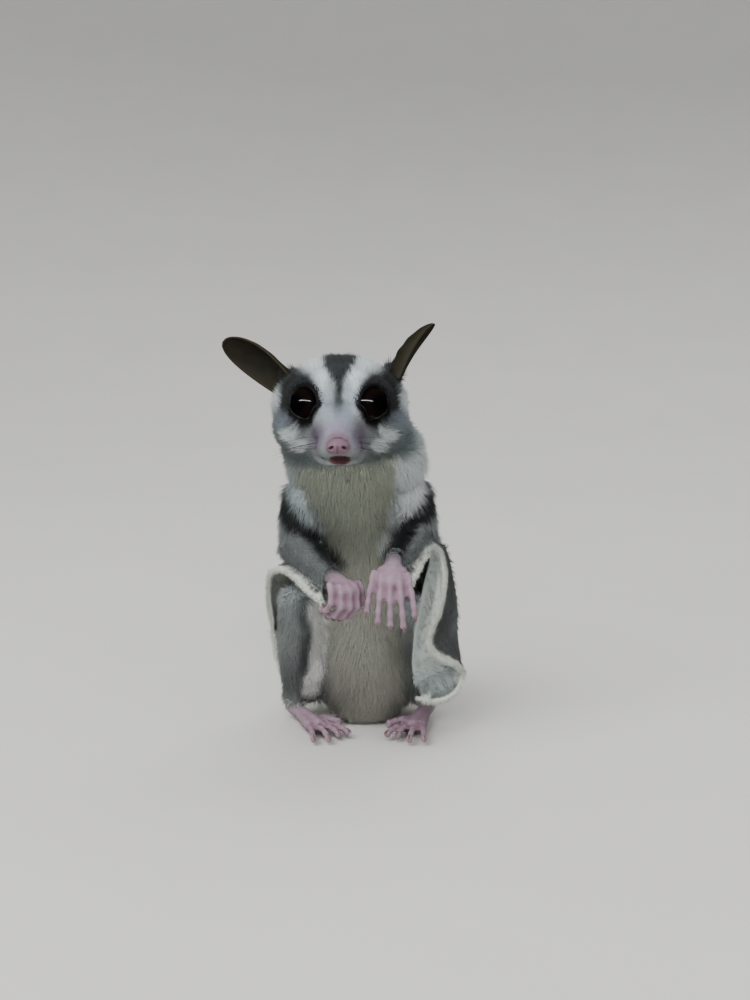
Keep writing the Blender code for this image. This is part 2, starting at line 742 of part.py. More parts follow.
def make_leg(side_name, hip, knee, ankle):
    """Thigh and shank, blended and parted at the knee."""
    hip, knee, ankle = at(*hip), at(*knee), at(*ankle)
    pieces = [
        ellipsoid(hip, Vector((8.6, 14.0, 14.0)) * MM),
        tube([hip, mix(hip, knee, 0.5), knee], [11.0 * MM, 8.4 * MM, 6.1 * MM], sides=16),
        ellipsoid(knee, Vector((6.0, 6.4, 6.4)) * MM),
        tube(
            [knee, mix(knee, ankle, 0.3), mix(knee, ankle, 0.65), ankle],
            [6.0 * MM, 5.7 * MM, 4.8 * MM, 3.7 * MM],
            sides=16,
        ),
        ellipsoid(ankle, Vector((3.7, 3.9, 3.7)) * MM),
    ]
    leg = levelled(melded("leg", pieces, FLESH_VOXEL, 8))
    ankle_way = (ankle - knee).normalized()
    keep_side(leg, ankle + ankle_way * 1.0 * MM, -ankle_way)
    thinned(leg, LEG_TRIANGLES)
    fold = ((knee - hip).normalized() + ankle_way).normalized()
    return parted(leg, ["thigh_" + side_name, "shank_" + side_name], [(knee, fold)])


def make_foot(name, ankle, toes, sign):
    """A hind foot flat on the floor: heel, sole, four clawed toes and the big toe set apart on the inside."""
    ankle = at(*ankle)
    heel = Vector((ankle.x, ankle.y + 1.5 * MM, 2.6 * MM))
    ball = at(*toes, 2.0)
    heading = Vector((ball.x - heel.x, ball.y - heel.y, 0.0)).normalized()
    inward = Vector((heading.y, -heading.x, 0.0))
    if inward.x * sign > 0:
        inward = -inward
    pieces = [
        tube(
            [heel - heading * 1.5 * MM, heel, mix(heel, ball, 0.5), ball, ball + heading * 1.5 * MM],
            [2.0 * MM, 3.0 * MM, 3.4 * MM, 4.2 * MM, 3.2 * MM],
            1, 10, flat=0.72,
        ),
        tube([ankle, mix(ankle, heel, 0.5), heel], [3.2 * MM, 3.1 * MM, 2.7 * MM], 1, 8, up=heading),
    ]
    floorward = Vector((0, 0, -1))
    for place, share in TOES:
        root = ball - inward * place * 1.9 * MM + heading * 1.0 * MM + Vector((0, 0, 0.2 * MM))
        way = heading - inward * place * 0.20 + Vector((0, 0, 0.16))
        lengths = [length * share for length in TOE_LENGTHS]
        pieces += digit(root, way, floorward, lengths, TOE_BENDS, TOE_RADIUS)
    root = mix(heel, ball, 0.62) + inward * 2.0 * MM
    way = inward * 0.9 + heading * 0.55
    pieces += digit(root, way, floorward, BIG_TOE_LENGTHS, BIG_TOE_BENDS, BIG_TOE_RADIUS, clawed=False)
    return levelled(united(name, pieces))


# Gliding skin


def make_patagium(name, lines):
    """The gliding skin: a thin sheet from its root over its fold to a rounded fringe along its free edge."""
    root, fold, edge = (smooth_line([at(*p) for p in points], 2) for points in lines)
    grid = [smooth_line(stations, 2) for stations in zip(root, fold, edge)]
    last = len(grid[0]) - 1
    rings = []
    for k, stations in enumerate(grid):
        along = [b - a for a, b in zip(grid[max(k - 1, 0)], grid[min(k + 1, len(grid) - 1)])]
        upper, lower = [], []
        for i in range(last):
            outward = stations[i + 1] - stations[max(i - 1, 0)]
            normal = along[i].cross(outward).normalized() * SHEET_HALF_THICK * MM
            upper.append(stations[i] + normal)
            lower.append(stations[i] - normal)
        outward = (stations[last] - stations[last - 1]).normalized()
        normal = along[last].cross(outward).normalized()
        radius = FRINGE_RADIUS * (1.0 + 0.10 * math.sin(1.9 * k)) * MM
        bead = []
        for angle in (90, 45, 0, -45, -90):
            turn = math.radians(angle)
            bead.append(stations[last] + (outward * math.cos(turn) + normal * math.sin(turn)) * radius)
        rings.append([*upper, *bead, *reversed(lower)])
    return loft(name, rings, turn_at=last + 2)


# Tail


def lock(root, heading, away, length, width, lift, curl):
    """A flat tapered lock of fur: it leaves its root, bends back along the heading and ends in a point."""
    side = heading.cross(away).normalized()
    line = []
    for share in (0.0, 0.3, 0.6, 1.0):
        rise = lift * math.sin(0.72 * math.pi * share**0.7)
        line.append(root + heading * length * share + away * rise + side * curl * share**2)
    rings = []
    for point, share, keel in zip(line, LOCK_PROFILE, LOCK_KEEL):
        edge = side * 0.5 * width * share
        ridge = away * LOCK_THICK * MM * share
        rings.append([point + edge, point + ridge, point - edge, point - away * keel * MM])
    return loft("lock", rings, line[-1])


def tail_place(line, sizes, share):
    """The middle, core radius and heading of the tail at a share of its length."""
    spot = share * (len(line) - 1)
    i = min(int(spot), len(line) - 2)
    point = mix(line[i], line[i + 1], spot - i)
    return point, mix(sizes[i], sizes[i + 1], spot - i), (line[i + 1] - line[i]).normalized()


def make_tail():
    """A core and rows of locks that lie back along it, united, levelled and parted into four lengths."""
    steps = 3
    line = smooth_line([at(*p) for p in TAIL_LINE], steps)
    sizes = smooth_values([r * MM for r in TAIL_CORE], steps)
    along = frames(line, Vector((0, 0, 1)))
    pieces = [loft("core", [ring(p, a, o, size, size, 12) for (p, a, o), size in zip(along, sizes)])]
    draw = random.Random(SEED)
    for row in range(LOCK_ROWS):
        share = mix(*LOCK_SPAN, row / (LOCK_ROWS - 1))
        point, size, heading = tail_place(line, sizes, share)
        across = heading.cross(Vector((0, 0, 1))).normalized()
        over = across.cross(heading)
        full = min(1.0, 0.6 + 1.5 * share) * (1.0 if share < 0.9 else 0.8)
        for k in range(LOCKS_IN_ROW):
            angle = math.radians(-20 + 360 / LOCKS_IN_ROW * (k + 0.5 * (row % 2)) + draw.uniform(-7, 7))
            away = (across * math.cos(angle) + over * math.sin(angle)).normalized()
            root = point + away * (size - LOCK_SINK * MM)
            length = LOCK_LENGTH * full * draw.uniform(0.88, 1.12) * MM
            width = LOCK_WIDTH * full * draw.uniform(0.9, 1.1) * MM
            curl = draw.uniform(-2.5, 2.5) * MM
            pieces.append(lock(root, heading, away, length, width, full * LOCK_LIFT * MM, curl))
    whole = levelled(united("tail", pieces))
    planes = []
    for share in TAIL_CUTS:
        point, _, heading = tail_place(line, sizes, share)
        planes.append((point, heading))
    return whole, planes


# The whole animal


def build():
    clear_scene()
    torso, neck, head = make_body()
    eyes = [make_eye("eye_right", -1), make_eye("eye_left", 1)]
    nose = make_nose()
    finish_head(head, nose, eyes)
    ears = [make_ear("ear_right", EAR_RIGHT), make_ear("ear_left", EAR_LEFT)]
    for ear in ears:
        cleared(ear, [head])

    arms = [
        make_arm("right", SHOULDER_RIGHT, ELBOW_RIGHT, WRIST_RIGHT),
        make_arm("left", SHOULDER_LEFT, ELBOW_LEFT, WRIST_LEFT),
    ]
    for arm in arms:
        for piece in arm:
            cleared(piece, [torso, neck])
    hands = [
        make_hand("hand_right", WRIST_RIGHT, HAND_RIGHT),
        make_hand("hand_left", WRIST_LEFT, HAND_LEFT),
    ]
    for hand, arm in zip(hands, arms):
        cleared(hand, [arm[1]], "MANIFOLD")
    legs = [
        make_leg("right", HIP_RIGHT, KNEE_RIGHT, ANKLE_RIGHT),
        make_leg("left", HIP_LEFT, KNEE_LEFT, ANKLE_LEFT),
    ]
    for leg in legs:
        for piece in leg:
            cleared(piece, [torso])
    feet = [
        make_foot("foot_right", ANKLE_RIGHT, TOES_RIGHT, -1),
        make_foot("foot_left", ANKLE_LEFT, TOES_LEFT, 1),
    ]
    for foot, leg in zip(feet, legs):
        cleared(foot, [*leg, torso], "MANIFOLD")
    patagia = [make_patagium("patagium_right", SHEET_RIGHT), make_patagium("patagium_left", SHEET_LEFT)]
    for sheet, arm, leg, hand, foot in zip(patagia, arms, legs, hands, feet):
        cleared(sheet, [torso, *arm, *leg, hand, foot], "MANIFOLD")

    tail_whole, planes = make_tail()
    cleared(tail_whole, [torso, legs[0][0], legs[1][0]])
    tail = parted(tail_whole, ["tail_root", "tail_middle", "tail_tip"], planes)

    looks = [
        ("fur_grey", FUR_GREY, [torso, neck, head, *arms[0], *arms[1], *legs[0], *legs[1], *patagia, *tail]),
        ("skin_pink", SKIN_PINK, [nose, *hands, *feet]),
        ("ear_dark", SKIN_DARK, ears),
        ("eye_black", EYE_BLACK, eyes),
    ]
    for slot, finish, objects in looks:
        material = make_material(slot, finish)
        for obj in objects:
            obj.data.materials.clear()
            obj.data.materials.append(material)
            obj.data.shade_smooth()


build()
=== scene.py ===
"""Looks of a life-size sugar glider that sits up with its forefeet held together.

The flesh is one fine skin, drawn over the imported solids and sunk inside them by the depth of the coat. The
coat is solid tufts that lie over it. Eyes, nose, ears, claws and whiskers are pieces of their own. Sizes
here are in millimetres, unless a name ends in _m, and become metres where a mesh is made.
"""

import logging
import math
from dataclasses import dataclass, field
from enum import Enum

import bmesh
import bpy
import numpy as np
from mathutils import Matrix, Vector
from mathutils.bvhtree import BVHTree
from mathutils.kdtree import KDTree


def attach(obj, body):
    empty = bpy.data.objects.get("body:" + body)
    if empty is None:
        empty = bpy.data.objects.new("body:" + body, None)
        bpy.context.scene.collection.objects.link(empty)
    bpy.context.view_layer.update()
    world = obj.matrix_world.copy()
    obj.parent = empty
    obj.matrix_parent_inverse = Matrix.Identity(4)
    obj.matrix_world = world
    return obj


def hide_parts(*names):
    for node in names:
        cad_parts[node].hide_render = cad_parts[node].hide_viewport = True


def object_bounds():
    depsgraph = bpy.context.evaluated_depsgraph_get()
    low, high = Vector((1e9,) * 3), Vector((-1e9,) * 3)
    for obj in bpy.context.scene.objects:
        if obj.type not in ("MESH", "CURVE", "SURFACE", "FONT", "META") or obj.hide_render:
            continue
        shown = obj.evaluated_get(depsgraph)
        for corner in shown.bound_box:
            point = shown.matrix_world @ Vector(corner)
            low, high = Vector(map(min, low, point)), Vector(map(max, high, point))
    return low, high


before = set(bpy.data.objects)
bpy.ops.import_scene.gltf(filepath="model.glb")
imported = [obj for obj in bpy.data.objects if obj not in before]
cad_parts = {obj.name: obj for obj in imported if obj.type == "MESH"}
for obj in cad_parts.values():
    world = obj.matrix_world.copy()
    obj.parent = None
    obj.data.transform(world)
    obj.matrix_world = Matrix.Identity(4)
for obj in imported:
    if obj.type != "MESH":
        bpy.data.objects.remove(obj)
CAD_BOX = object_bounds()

MM = 0.001
LOG = logging.getLogger("sugar_glider")

Point = tuple[float, float, float]
Line = tuple[Point, ...]
Blend = float | Vector | np.ndarray


# Numbers and directions


def linear(red: float, green: float, blue: float) -> np.ndarray:
    """Turns a colour as it looks on a screen, 0 to 255, into linear light.

    Args:
        red: Red share.
        green: Green share.
        blue: Blue share.

    Returns:
        The three linear shares.
    """
    share = np.array((red, green, blue)) / 255.0
    return np.where(share <= 0.04045, share / 12.92, ((share + 0.055) / 1.055) ** 2.4)


def rgba(colour: np.ndarray) -> tuple[float, float, float, float]:
    """Gives a linear colour with full opacity."""
    return (*[float(c) for c in colour], 1.0)


def smoothstep(low: float, high: float, value: np.ndarray) -> np.ndarray:
    """Rises softly from 0 at low to 1 at high.

    Args:
        low: Where the rise starts.
        high: Where it ends. It may be the lower of the two, for a fall.
        value: The numbers to judge.

    Returns:
        A share from 0 to 1 for each number.
    """
    share = np.clip((value - low) / (high - low), 0.0, 1.0)
    return share * share * (3.0 - 2.0 * share)


def mix(a: Blend, b: Blend, share: float | np.ndarray) -> Blend:
    """Goes from a to b by a share, for numbers, vectors and arrays alike."""
    return a + (b - a) * share


def unit(vectors: np.ndarray) -> np.ndarray:
    """Brings each row to length one."""
    return vectors / np.maximum(np.linalg.norm(vectors, axis=-1, keepdims=True), 1e-9)


def smooth_line(points: Line, steps: int) -> list[Vector]:
    """Draws a Catmull-Rom line through points.

    Args:
        points: The points to pass through.
        steps: Stretches between each two points.

    Returns:
        The points of the finer line.
    """
    ends = [2 * Vector(points[0]) - Vector(points[1]), 2 * Vector(points[-1]) - Vector(points[-2])]
    knots = [ends[0], *(Vector(p) for p in points), ends[1]]
    line = []
    for i in range(1, len(knots) - 2):
        a, b, c, d = knots[i - 1 : i + 3]
        for s in range(steps):
            t = s / steps
            bow = (2 * a - 5 * b + 4 * c - d) * t**2
            twist = (3 * b - a - 3 * c + d) * t**3
            line.append(0.5 * (2 * b + (c - a) * t + bow + twist))
    return [*line, knots[-2]]


def smooth_values(values: tuple[float, ...], steps: int) -> list[float]:
    """Applies the same rule to a list of numbers."""
    return [p.x for p in smooth_line([(v, 0.0, 0.0) for v in values], steps)]


def nearest_on_line(points: np.ndarray, line: Line) -> tuple[np.ndarray, np.ndarray, np.ndarray]:
    """Finds the place on a line of straight stretches that is nearest to each point.

    Args:
        points: Rows of x, y and z.
        line: The line's points.

    Returns:
        The distance, the share of the line's stretches passed, and the line's direction there.
    """
    spots = np.array([tuple(p) for p in line], float)
    best = np.full(len(points), 1e9)
    share = np.zeros(len(points))
    heading = np.zeros((len(points), 3))
    for i, (a, b) in enumerate(zip(spots, spots[1:])):
        way = b - a
        t = np.clip(((points - a) @ way) / max(way @ way, 1e-12), 0.0, 1.0)
        away = np.linalg.norm(points - (a + t[:, None] * way), axis=1)
        closer = away < best
        best[closer] = away[closer]
        share[closer] = (i + t[closer]) / (len(spots) - 1)
        heading[closer] = way / max(np.linalg.norm(way), 1e-9)
    return best, share, heading


# Body plan, as the solids have it

HEAD_CENTRE = np.array((-6.7, -17.0, 88.0))
EYE_SIDE, EYE_FORWARD, EYE_UP = 7.7, 9.8, 0.1
EYE_RADIUS = 4.7
EYE_AIM = (0.60, -0.79, 0.08)
NOSE_TIP = (0.0, 23.2, -9.2)
MOUTH_HALF = ((8.0, 10.0, -11.0), (6.0, 14.2, -12.3), (3.3, 18.2, -12.9), (0.0, 20.3, -12.6))

SPINE_LINE: Line = (
    (0.0, 0.4, -1.2), (0.0, 0.8, 6.5), (0.0, 1.2, 18.0), (-0.3, 1.4, 31.0), (-1.0, 0.4, 43.0),
    (-1.7, -2.6, 54.0), (-2.8, -6.4, 64.0), (-4.2, -10.2, 73.5), (-5.8, -13.2, 82.0), (-6.6, -15.5, 91.0),
)
ARM_RIGHT: Line = ((-15.8, -10.5, 61.5), (-18.6, -10.5, 50.0), (-9.0, -31.0, 45.0))
ARM_LEFT: Line = ((11.2, -10.5, 61.5), (14.4, -10.0, 52.0), (7.2, -31.0, 49.5))
LEG_RIGHT: Line = ((-13.5, 4.0, 15.5), (-18.0, -13.0, 34.5), (-20.0, -2.5, 6.8))
LEG_LEFT: Line = ((13.0, 4.0, 15.5), (14.6, -12.5, 31.5), (16.6, -2.5, 6.8))
TOES_RIGHT, TOES_LEFT = (-12.6, -17.0), (12.2, -17.5)
EDGE_RIGHT: Line = (
    (-10.6, -33.5, 38.8), (-15.6, -25.6, 41.0), (-20.6, -16.5, 43.6), (-24.4, -11.0, 43.0),
    (-26.2, -5.5, 39.4), (-26.4, -2.5, 32.5), (-25.6, 0.0, 25.0), (-24.8, 0.0, 18.0), (-22.6, -3.0, 11.4),
)
EDGE_LEFT: Line = (
    (10.6, -32.6, 42.2), (13.8, -26.0, 46.4), (17.6, -17.2, 50.2), (19.9, -15.6, 45.6), (20.0, -16.8, 39.4),
    (18.6, -18.8, 33.8), (16.4, -21.2, 29.0), (16.0, -22.2, 25.0), (19.0, -22.4, 22.0),
    (22.8, -20.4, 19.8), (25.2, -16.0, 16.4), (24.0, -11.6, 12.4), (20.4, -7.8, 9.4),
)
LINING_LEFT: Line = (
    (16.9, -15.4, 48.8), (16.8, -15.4, 45.5), (15.4, -17.2, 39.5), (14.2, -19.4, 33.5), (12.9, -21.0, 28.6),
    (12.6, -21.4, 24.4), (12.8, -21.0, 19.6), (13.6, -19.4, 15.0),
)
LOOP_LEFT: Line = (
    (25.2, -16.0, 16.4), (24.2, -18.2, 12.8), (21.0, -19.6, 10.4), (16.8, -19.4, 9.6), (12.8, -17.6, 10.0),
)
WEB_LEFT: Line = (
    (13.0, -12.0, 48.2), (13.4, -3.0, 45.2), (13.6, 1.0, 40.0), (13.8, 3.4, 34.0), (14.0, 4.6, 28.0),
)
WEB_RIGHT: Line = (
    (-15.4, -14.0, 45.8), (-15.8, -6.0, 43.0), (-15.4, 0.0, 38.0), (-14.4, 3.6, 31.0), (-14.2, 5.0, 25.0),
)
TAIL_LINE: Line = (
    (0.0, 10.0, 12.5), (0.0, 21.0, 10.6), (-2.0, 36.0, 9.6), (-6.0, 54.0, 9.4), (-10.0, 73.0, 9.4),
    (-12.0, 92.0, 9.4), (-10.0, 111.0, 9.4), (-4.0, 129.0, 9.2), (4.0, 146.0, 8.6), (12.0, 160.0, 7.6),
)
TAIL_FLESH = (7.4, 5.4, 4.2, 3.9, 3.8, 3.7, 3.6, 3.4, 2.8, 1.6)


def head_place(side: float, forward: float, up: float) -> Vector:
    """Gives a point of the head's own frame, in millimetres of the model."""
    return Vector((HEAD_CENTRE[0] + side, HEAD_CENTRE[1] - forward, HEAD_CENTRE[2] + up))


def head_frame(points: np.ndarray) -> np.ndarray:
    """Turns model points into side, forward and up from the middle of the skull."""
    away = points - HEAD_CENTRE
    return np.stack((away[:, 0], -away[:, 1], away[:, 2]), axis=1)


def mouth_line() -> Line:
    """The line of the mouth from one corner to the other, in the model's frame."""
    half = [(-s, f, u) for s, f, u in MOUTH_HALF]
    whole = half + list(MOUTH_HALF[-2::-1])
    return tuple(tuple(p) for p in smooth_line([tuple(head_place(*p)) for p in whole], 3))


def eye_place(sign: int) -> Vector:
    """The middle of an eye. The animal's right has the sign -1."""
    return head_place(sign * EYE_SIDE, EYE_FORWARD, EYE_UP)


# Shader nodes


class Value:
    """A shader socket that takes part in Python arithmetic."""

    def __init__(self, nodes: "Nodes", socket: bpy.types.NodeSocket) -> None:
        """Wraps an output socket of the given node tree."""
        self.nodes = nodes
        self.socket = socket

    def _math(self, operation: str, first: object, second: object) -> "Value":
        """Adds one Math node."""
        return self.nodes.add("ShaderNodeMath", {"operation": operation}, {0: first, 1: second})

    def __add__(self, other: object) -> "Value":
        """Adds."""
        return self._math("ADD", self, other)

    def __sub__(self, other: object) -> "Value":
        """Takes away."""
        return self._math("SUBTRACT", self, other)

    def __mul__(self, other: object) -> "Value":
        """Multiplies."""
        return self._math("MULTIPLY", self, other)

    def __truediv__(self, other: object) -> "Value":
        """Divides."""
        return self._math("DIVIDE", self, other)

    def __pow__(self, other: object) -> "Value":
        """Raises to a power."""
        return self._math("POWER", self, other)

    __radd__ = __add__
    __rmul__ = __mul__

    def __rsub__(self, other: object) -> "Value":
        """Is taken away from a number."""
        return self._math("SUBTRACT", other, self)

    def __rtruediv__(self, other: object) -> "Value":
        """Divides a number."""
        return self._math("DIVIDE", other, self)


class Nodes:
    """One material's node tree, built from Python."""

    def __init__(self, name: str) -> None:
        """Starts a material of that name with its Principled shader."""
        self.material = bpy.data.materials.new(name)
        self.material.use_nodes = True
        self.tree = self.material.node_tree
        self.shader = self.tree.nodes["Principled BSDF"]

    def add(
        self, kind: str, settings: dict | None = None, sockets: dict | None = None, out: object = 0
    ) -> Value:
        """Adds a node.

        Args:
            kind: The node's type.
            settings: Its properties, and "stops" for the (place, colour) stops of a ramp.
            sockets: Values or links for its inputs, by name or number.
            out: The name or number of the output that is wanted.

        Returns:
            That output.
        """
        node = self.tree.nodes.new(kind)
        for key, value in (settings or {}).items():
            if key == "stops":
                ramp = node.color_ramp
                while len(ramp.elements) < len(value):
                    ramp.elements.new(1.0)
                for element, (place, colour) in zip(ramp.elements, value):
                    element.position = place
                    element.color = colour
            else:
                setattr(node, key, value)
        for key, value in (sockets or {}).items():
            self.join(node.inputs[key], value)
        return Value(self, node.outputs[out])

    def join(self, socket: bpy.types.NodeSocket, value: object) -> None:
        """Sets a socket, or links it to a value of the tree.

        Args:
            socket: The input.
            value: A number, a colour or a Value.
        """
        if isinstance(value, Value):
            self.tree.links.new(value.socket, socket)
        else:
            socket.default_value = value

    def principled(self, **inputs: object) -> bpy.types.Material:
        """Sets inputs of the Principled shader, with _ for a blank in a name.

        Args:
            **inputs: Values or links by the socket's name.

        Returns:
            The finished material.
        """
        for key, value in inputs.items():
            self.join(self.shader.inputs[key.replace("_", " ")], value)
        return self.material

    def place(self) -> Value:
        """The object's own coordinates."""
        return self.add("ShaderNodeTexCoord", out="Object")

    def attribute(self, name: str, out: str = "Color") -> Value:
        """A value that the mesh carries at its points."""
        return self.add("ShaderNodeAttribute", {"attribute_name": name}, out=out)

    def noise(self, size: float, detail: float = 2.0, stretch: Point = (1.0, 1.0, 1.0)) -> Value:
        """A soft random pattern.

        Args:
            size: About how wide its blots are, in millimetres.
            detail: How many finer layers it has.
            stretch: How much finer it is along x, y and z.

        Returns:
            A value from 0 to 1.
        """
        where = self.add("ShaderNodeMapping", None, {"Vector": self.place(), "Scale": stretch})
        sockets = {"Vector": where, "Scale": 1.0 / (size * MM), "Detail": detail}
        return self.add("ShaderNodeTexNoise", None, sockets)

    def cells(self, size: float) -> Value:
        """A pattern of close cells, each about size millimetres wide."""
        sockets = {"Vector": self.place(), "Scale": 1.0 / (size * MM)}
        return self.add("ShaderNodeTexVoronoi", None, sockets, "Distance")

    def blend(self, share: object, first: object, second: object, kind: str = "MIX") -> Value:
        """Mixes two colours by a share."""
        settings = {"data_type": "RGBA", "blend_type": kind}
        return self.add("ShaderNodeMix", settings, {0: share, 6: first, 7: second}, 2)

    def bump(self, height: Value, depth: float, strength: float = 1.0, normal: Value | None = None) -> Value:
        """Turns a height into a bumped normal, with its depth in millimetres.

        Args:
            height: The pattern.
            depth: How deep it is.
            strength: How much of it shows.
            normal: A bumped normal to build on.

        Returns:
            The normal.
        """
        sockets = {"Strength": strength, "Distance": depth * MM, "Height": height}
        if normal is not None:
            sockets["Normal"] = normal
        return self.add("ShaderNodeBump", None, sockets)


# Finishes


@dataclass(frozen=True)
class CoatFinish:
    """Soft fur, in the colour that each tuft carries."""

    name: str = "fur_tufts"
    roughness: float = 0.66
    specular: float = 0.12
    sheen: float = 0.04

    def material(self) -> bpy.types.Material:
        """Makes the material.

        Returns:
            The material.
        """
        nodes = Nodes(self.name)
        speck = nodes.noise(0.35, 1.0)
        tint = nodes.blend(speck * 0.35, nodes.attribute("Markings"), (1.0, 1.0, 1.0, 1.0), "SOFT_LIGHT")
        nodes.shader.inputs["Specular IOR Level"].default_value = self.specular
        nodes.shader.inputs["Sheen Weight"].default_value = self.sheen
        nodes.shader.inputs["Sheen Roughness"].default_value = 0.6
        return nodes.principled(Base_Color=tint, Roughness=self.roughness)


@dataclass(frozen=True)
class SkinFinish:
    """Skin under the fur and bare skin of paws, lids and muzzle, in the colour that the skin carries."""

    name: str = "flesh_skin"
    fine: float = 0.28
    crease: float = 0.55

    def material(self) -> bpy.types.Material:
        """Makes the material.

        Returns:
            The material.
        """
        nodes = Nodes(self.name)
        bare = nodes.attribute("Bare", "Fac")
        fuzz = nodes.noise(self.fine, 3.0)
        folds = nodes.cells(self.crease)
        mottle = nodes.noise(1.6, 3.0)
        shade = nodes.blend(bare * mottle, nodes.attribute("Markings"), (0.62, 0.54, 0.58, 1.0), "MULTIPLY")
        height = bare * folds * 0.6 + fuzz * (1.0 - bare * 0.6)
        nodes.shader.inputs["Specular IOR Level"].default_value = 0.35
        return nodes.principled(
            Base_Color=shade, Roughness=0.78 - bare * 0.26, Normal=nodes.bump(height, 0.10, 0.8)
        )


@dataclass(frozen=True)
class EyeFinish:
    """Wet black eye with a faint brown ring in its depth."""

    name: str = "eye_black"

    def material(self) -> bpy.types.Material:
        """Makes the material.

        Returns:
            The material.
        """
        nodes = Nodes(self.name)
        ring = nodes.attribute("Ring", "Fac")
        streak = nodes.noise(0.5, 2.0)
        brown = nodes.blend(ring * streak, rgba(linear(4, 4, 5)), rgba(linear(24, 16, 13)))
        nodes.shader.inputs["Specular IOR Level"].default_value = 0.5
        nodes.shader.inputs["Coat Roughness"].default_value = 0.02
        return nodes.principled(Base_Color=brown, Roughness=0.08 + streak * 0.03, Coat_Weight=0.5)


@dataclass(frozen=True)
class NoseFinish:
    """Moist pink skin with a fine pebbled grain, darkened to dark red in the nostrils and the groove as
    painted shade.
    """

    name: str = "nose_pink"

    def material(self) -> bpy.types.Material:
        """Makes the material.

        Returns:
            The material.
        """
        nodes = Nodes(self.name)
        pebbles = nodes.cells(0.34)
        blot = nodes.noise(1.2, 2.0)
        pink = nodes.blend(blot, rgba(linear(130, 105, 120)), rgba(linear(106, 80, 95)))
        # Painted shade: the Hollow share darkens the nostrils and the groove between them to dark red.
        shade = nodes.blend(nodes.attribute("Hollow", "Fac"), pink, rgba(linear(70, 32, 38)))
        return nodes.principled(
            Base_Color=shade, Roughness=0.36 + blot * 0.12, Normal=nodes.bump(1.0 - pebbles, 0.06, 0.7)
        )


@dataclass(frozen=True)
class EarFinish:
    """Thin bare dark skin, paler and browner towards the rim, with fine veins."""

    name: str = "ear_dark"

    def material(self) -> bpy.types.Material:
        """Makes the material.

        Returns:
            The material.
        """
        nodes = Nodes(self.name)
        rim = nodes.attribute("Rim", "Fac")
        blot = nodes.noise(2.2, 3.0)
        grain = nodes.noise(0.30, 3.0)
        dark = nodes.blend(blot, rgba(linear(28, 27, 20)), rgba(linear(43, 41, 29)))
        shade = nodes.blend(rim * 0.5, dark, rgba(linear(64, 59, 47)))
        nodes.shader.inputs["Specular IOR Level"].default_value = 0.3
        nodes.shader.inputs["Subsurface Weight"].default_value = 0.08
        nodes.shader.inputs["Subsurface Scale"].default_value = 0.5 * MM
        return nodes.principled(
            Base_Color=shade, Roughness=0.58 + grain * 0.15, Normal=nodes.bump(grain + blot * 0.5, 0.10, 0.7)
        )


@dataclass(frozen=True)
class HornFinish:
    """Smooth horn or bristle in one colour with faint streaks."""

    name: str
    dark: Point
    pale: Point
    roughness: float = 0.3

    def material(self) -> bpy.types.Material:
        """Makes the material.

        Returns:
            The material.
        """
        nodes = Nodes(self.name)
        streak = nodes.noise(0.4, 2.0, (1.0, 1.0, 3.0))
        shade = nodes.blend(streak, rgba(linear(*self.dark)), rgba(linear(*self.pale)))
        return nodes.principled(Base_Color=shade, Roughness=self.roughness + streak * 0.1)


@dataclass(frozen=True)
class FloorFinish:
    """Plain pale matt floor."""

    name: str = "floor_pale"

    def material(self) -> bpy.types.Material:
        """Makes the material.

        Returns:
            The material.
        """
        nodes = Nodes(self.name)
        cloud = nodes.noise(60.0, 2.0)
        shade = nodes.blend(cloud, rgba(linear(206, 205, 200)), rgba(linear(212, 211, 207)))
        return nodes.principled(Base_Color=shade, Roughness=0.9)


# Meshes


def add_object(name: str, mesh: bpy.types.Mesh) -> bpy.types.Object:
    """Puts a mesh in the scene as an object at the origin."""
    obj = bpy.data.objects.new(name, mesh)
    bpy.context.scene.collection.objects.link(obj)
    return obj


def settle(obj: bpy.types.Object) -> bpy.types.Object:
    """Applies the object's modifiers to its mesh.

    Args:
        obj: The object.

    Returns:
        The same object.
    """
    graph = bpy.context.evaluated_depsgraph_get()
    old = obj.data
    obj.data = bpy.data.meshes.new_from_object(obj.evaluated_get(graph))
    obj.modifiers.clear()
    bpy.data.meshes.remove(old)
    return obj


def object_of(name: str, bm: bmesh.types.BMesh) -> bpy.types.Object:
    """Makes an object of a bmesh whose points are in millimetres.

    Args:
        name: The object's name.
        bm: The bmesh, which is freed.

    Returns:
        The object, in metres.
    """
    bmesh.ops.transform(bm, matrix=Matrix.Scale(MM, 4), verts=bm.verts)
    mesh = bpy.data.meshes.new(name)
    bm.to_mesh(mesh)
    bm.free()
    return add_object(name, mesh)


def add_ball(
    bm: bmesh.types.BMesh, centre: Point, radii: Point, turn: Matrix | None = None, sides: int = 24
) -> None:
    """Adds a closed ball stretched to three radii.

    Args:
        bm: The bmesh that takes it, in millimetres.
        centre: Its middle.
        radii: Its half sizes.
        turn: How it is turned.
        sides: How many sides it has round its waist.
    """
    place = Matrix.Translation(centre) @ (turn or Matrix.Identity(4)) @ Matrix.Diagonal((*radii, 1.0))
    bmesh.ops.create_uvsphere(bm, u_segments=sides, v_segments=sides * 2 // 3, radius=1.0, matrix=place)


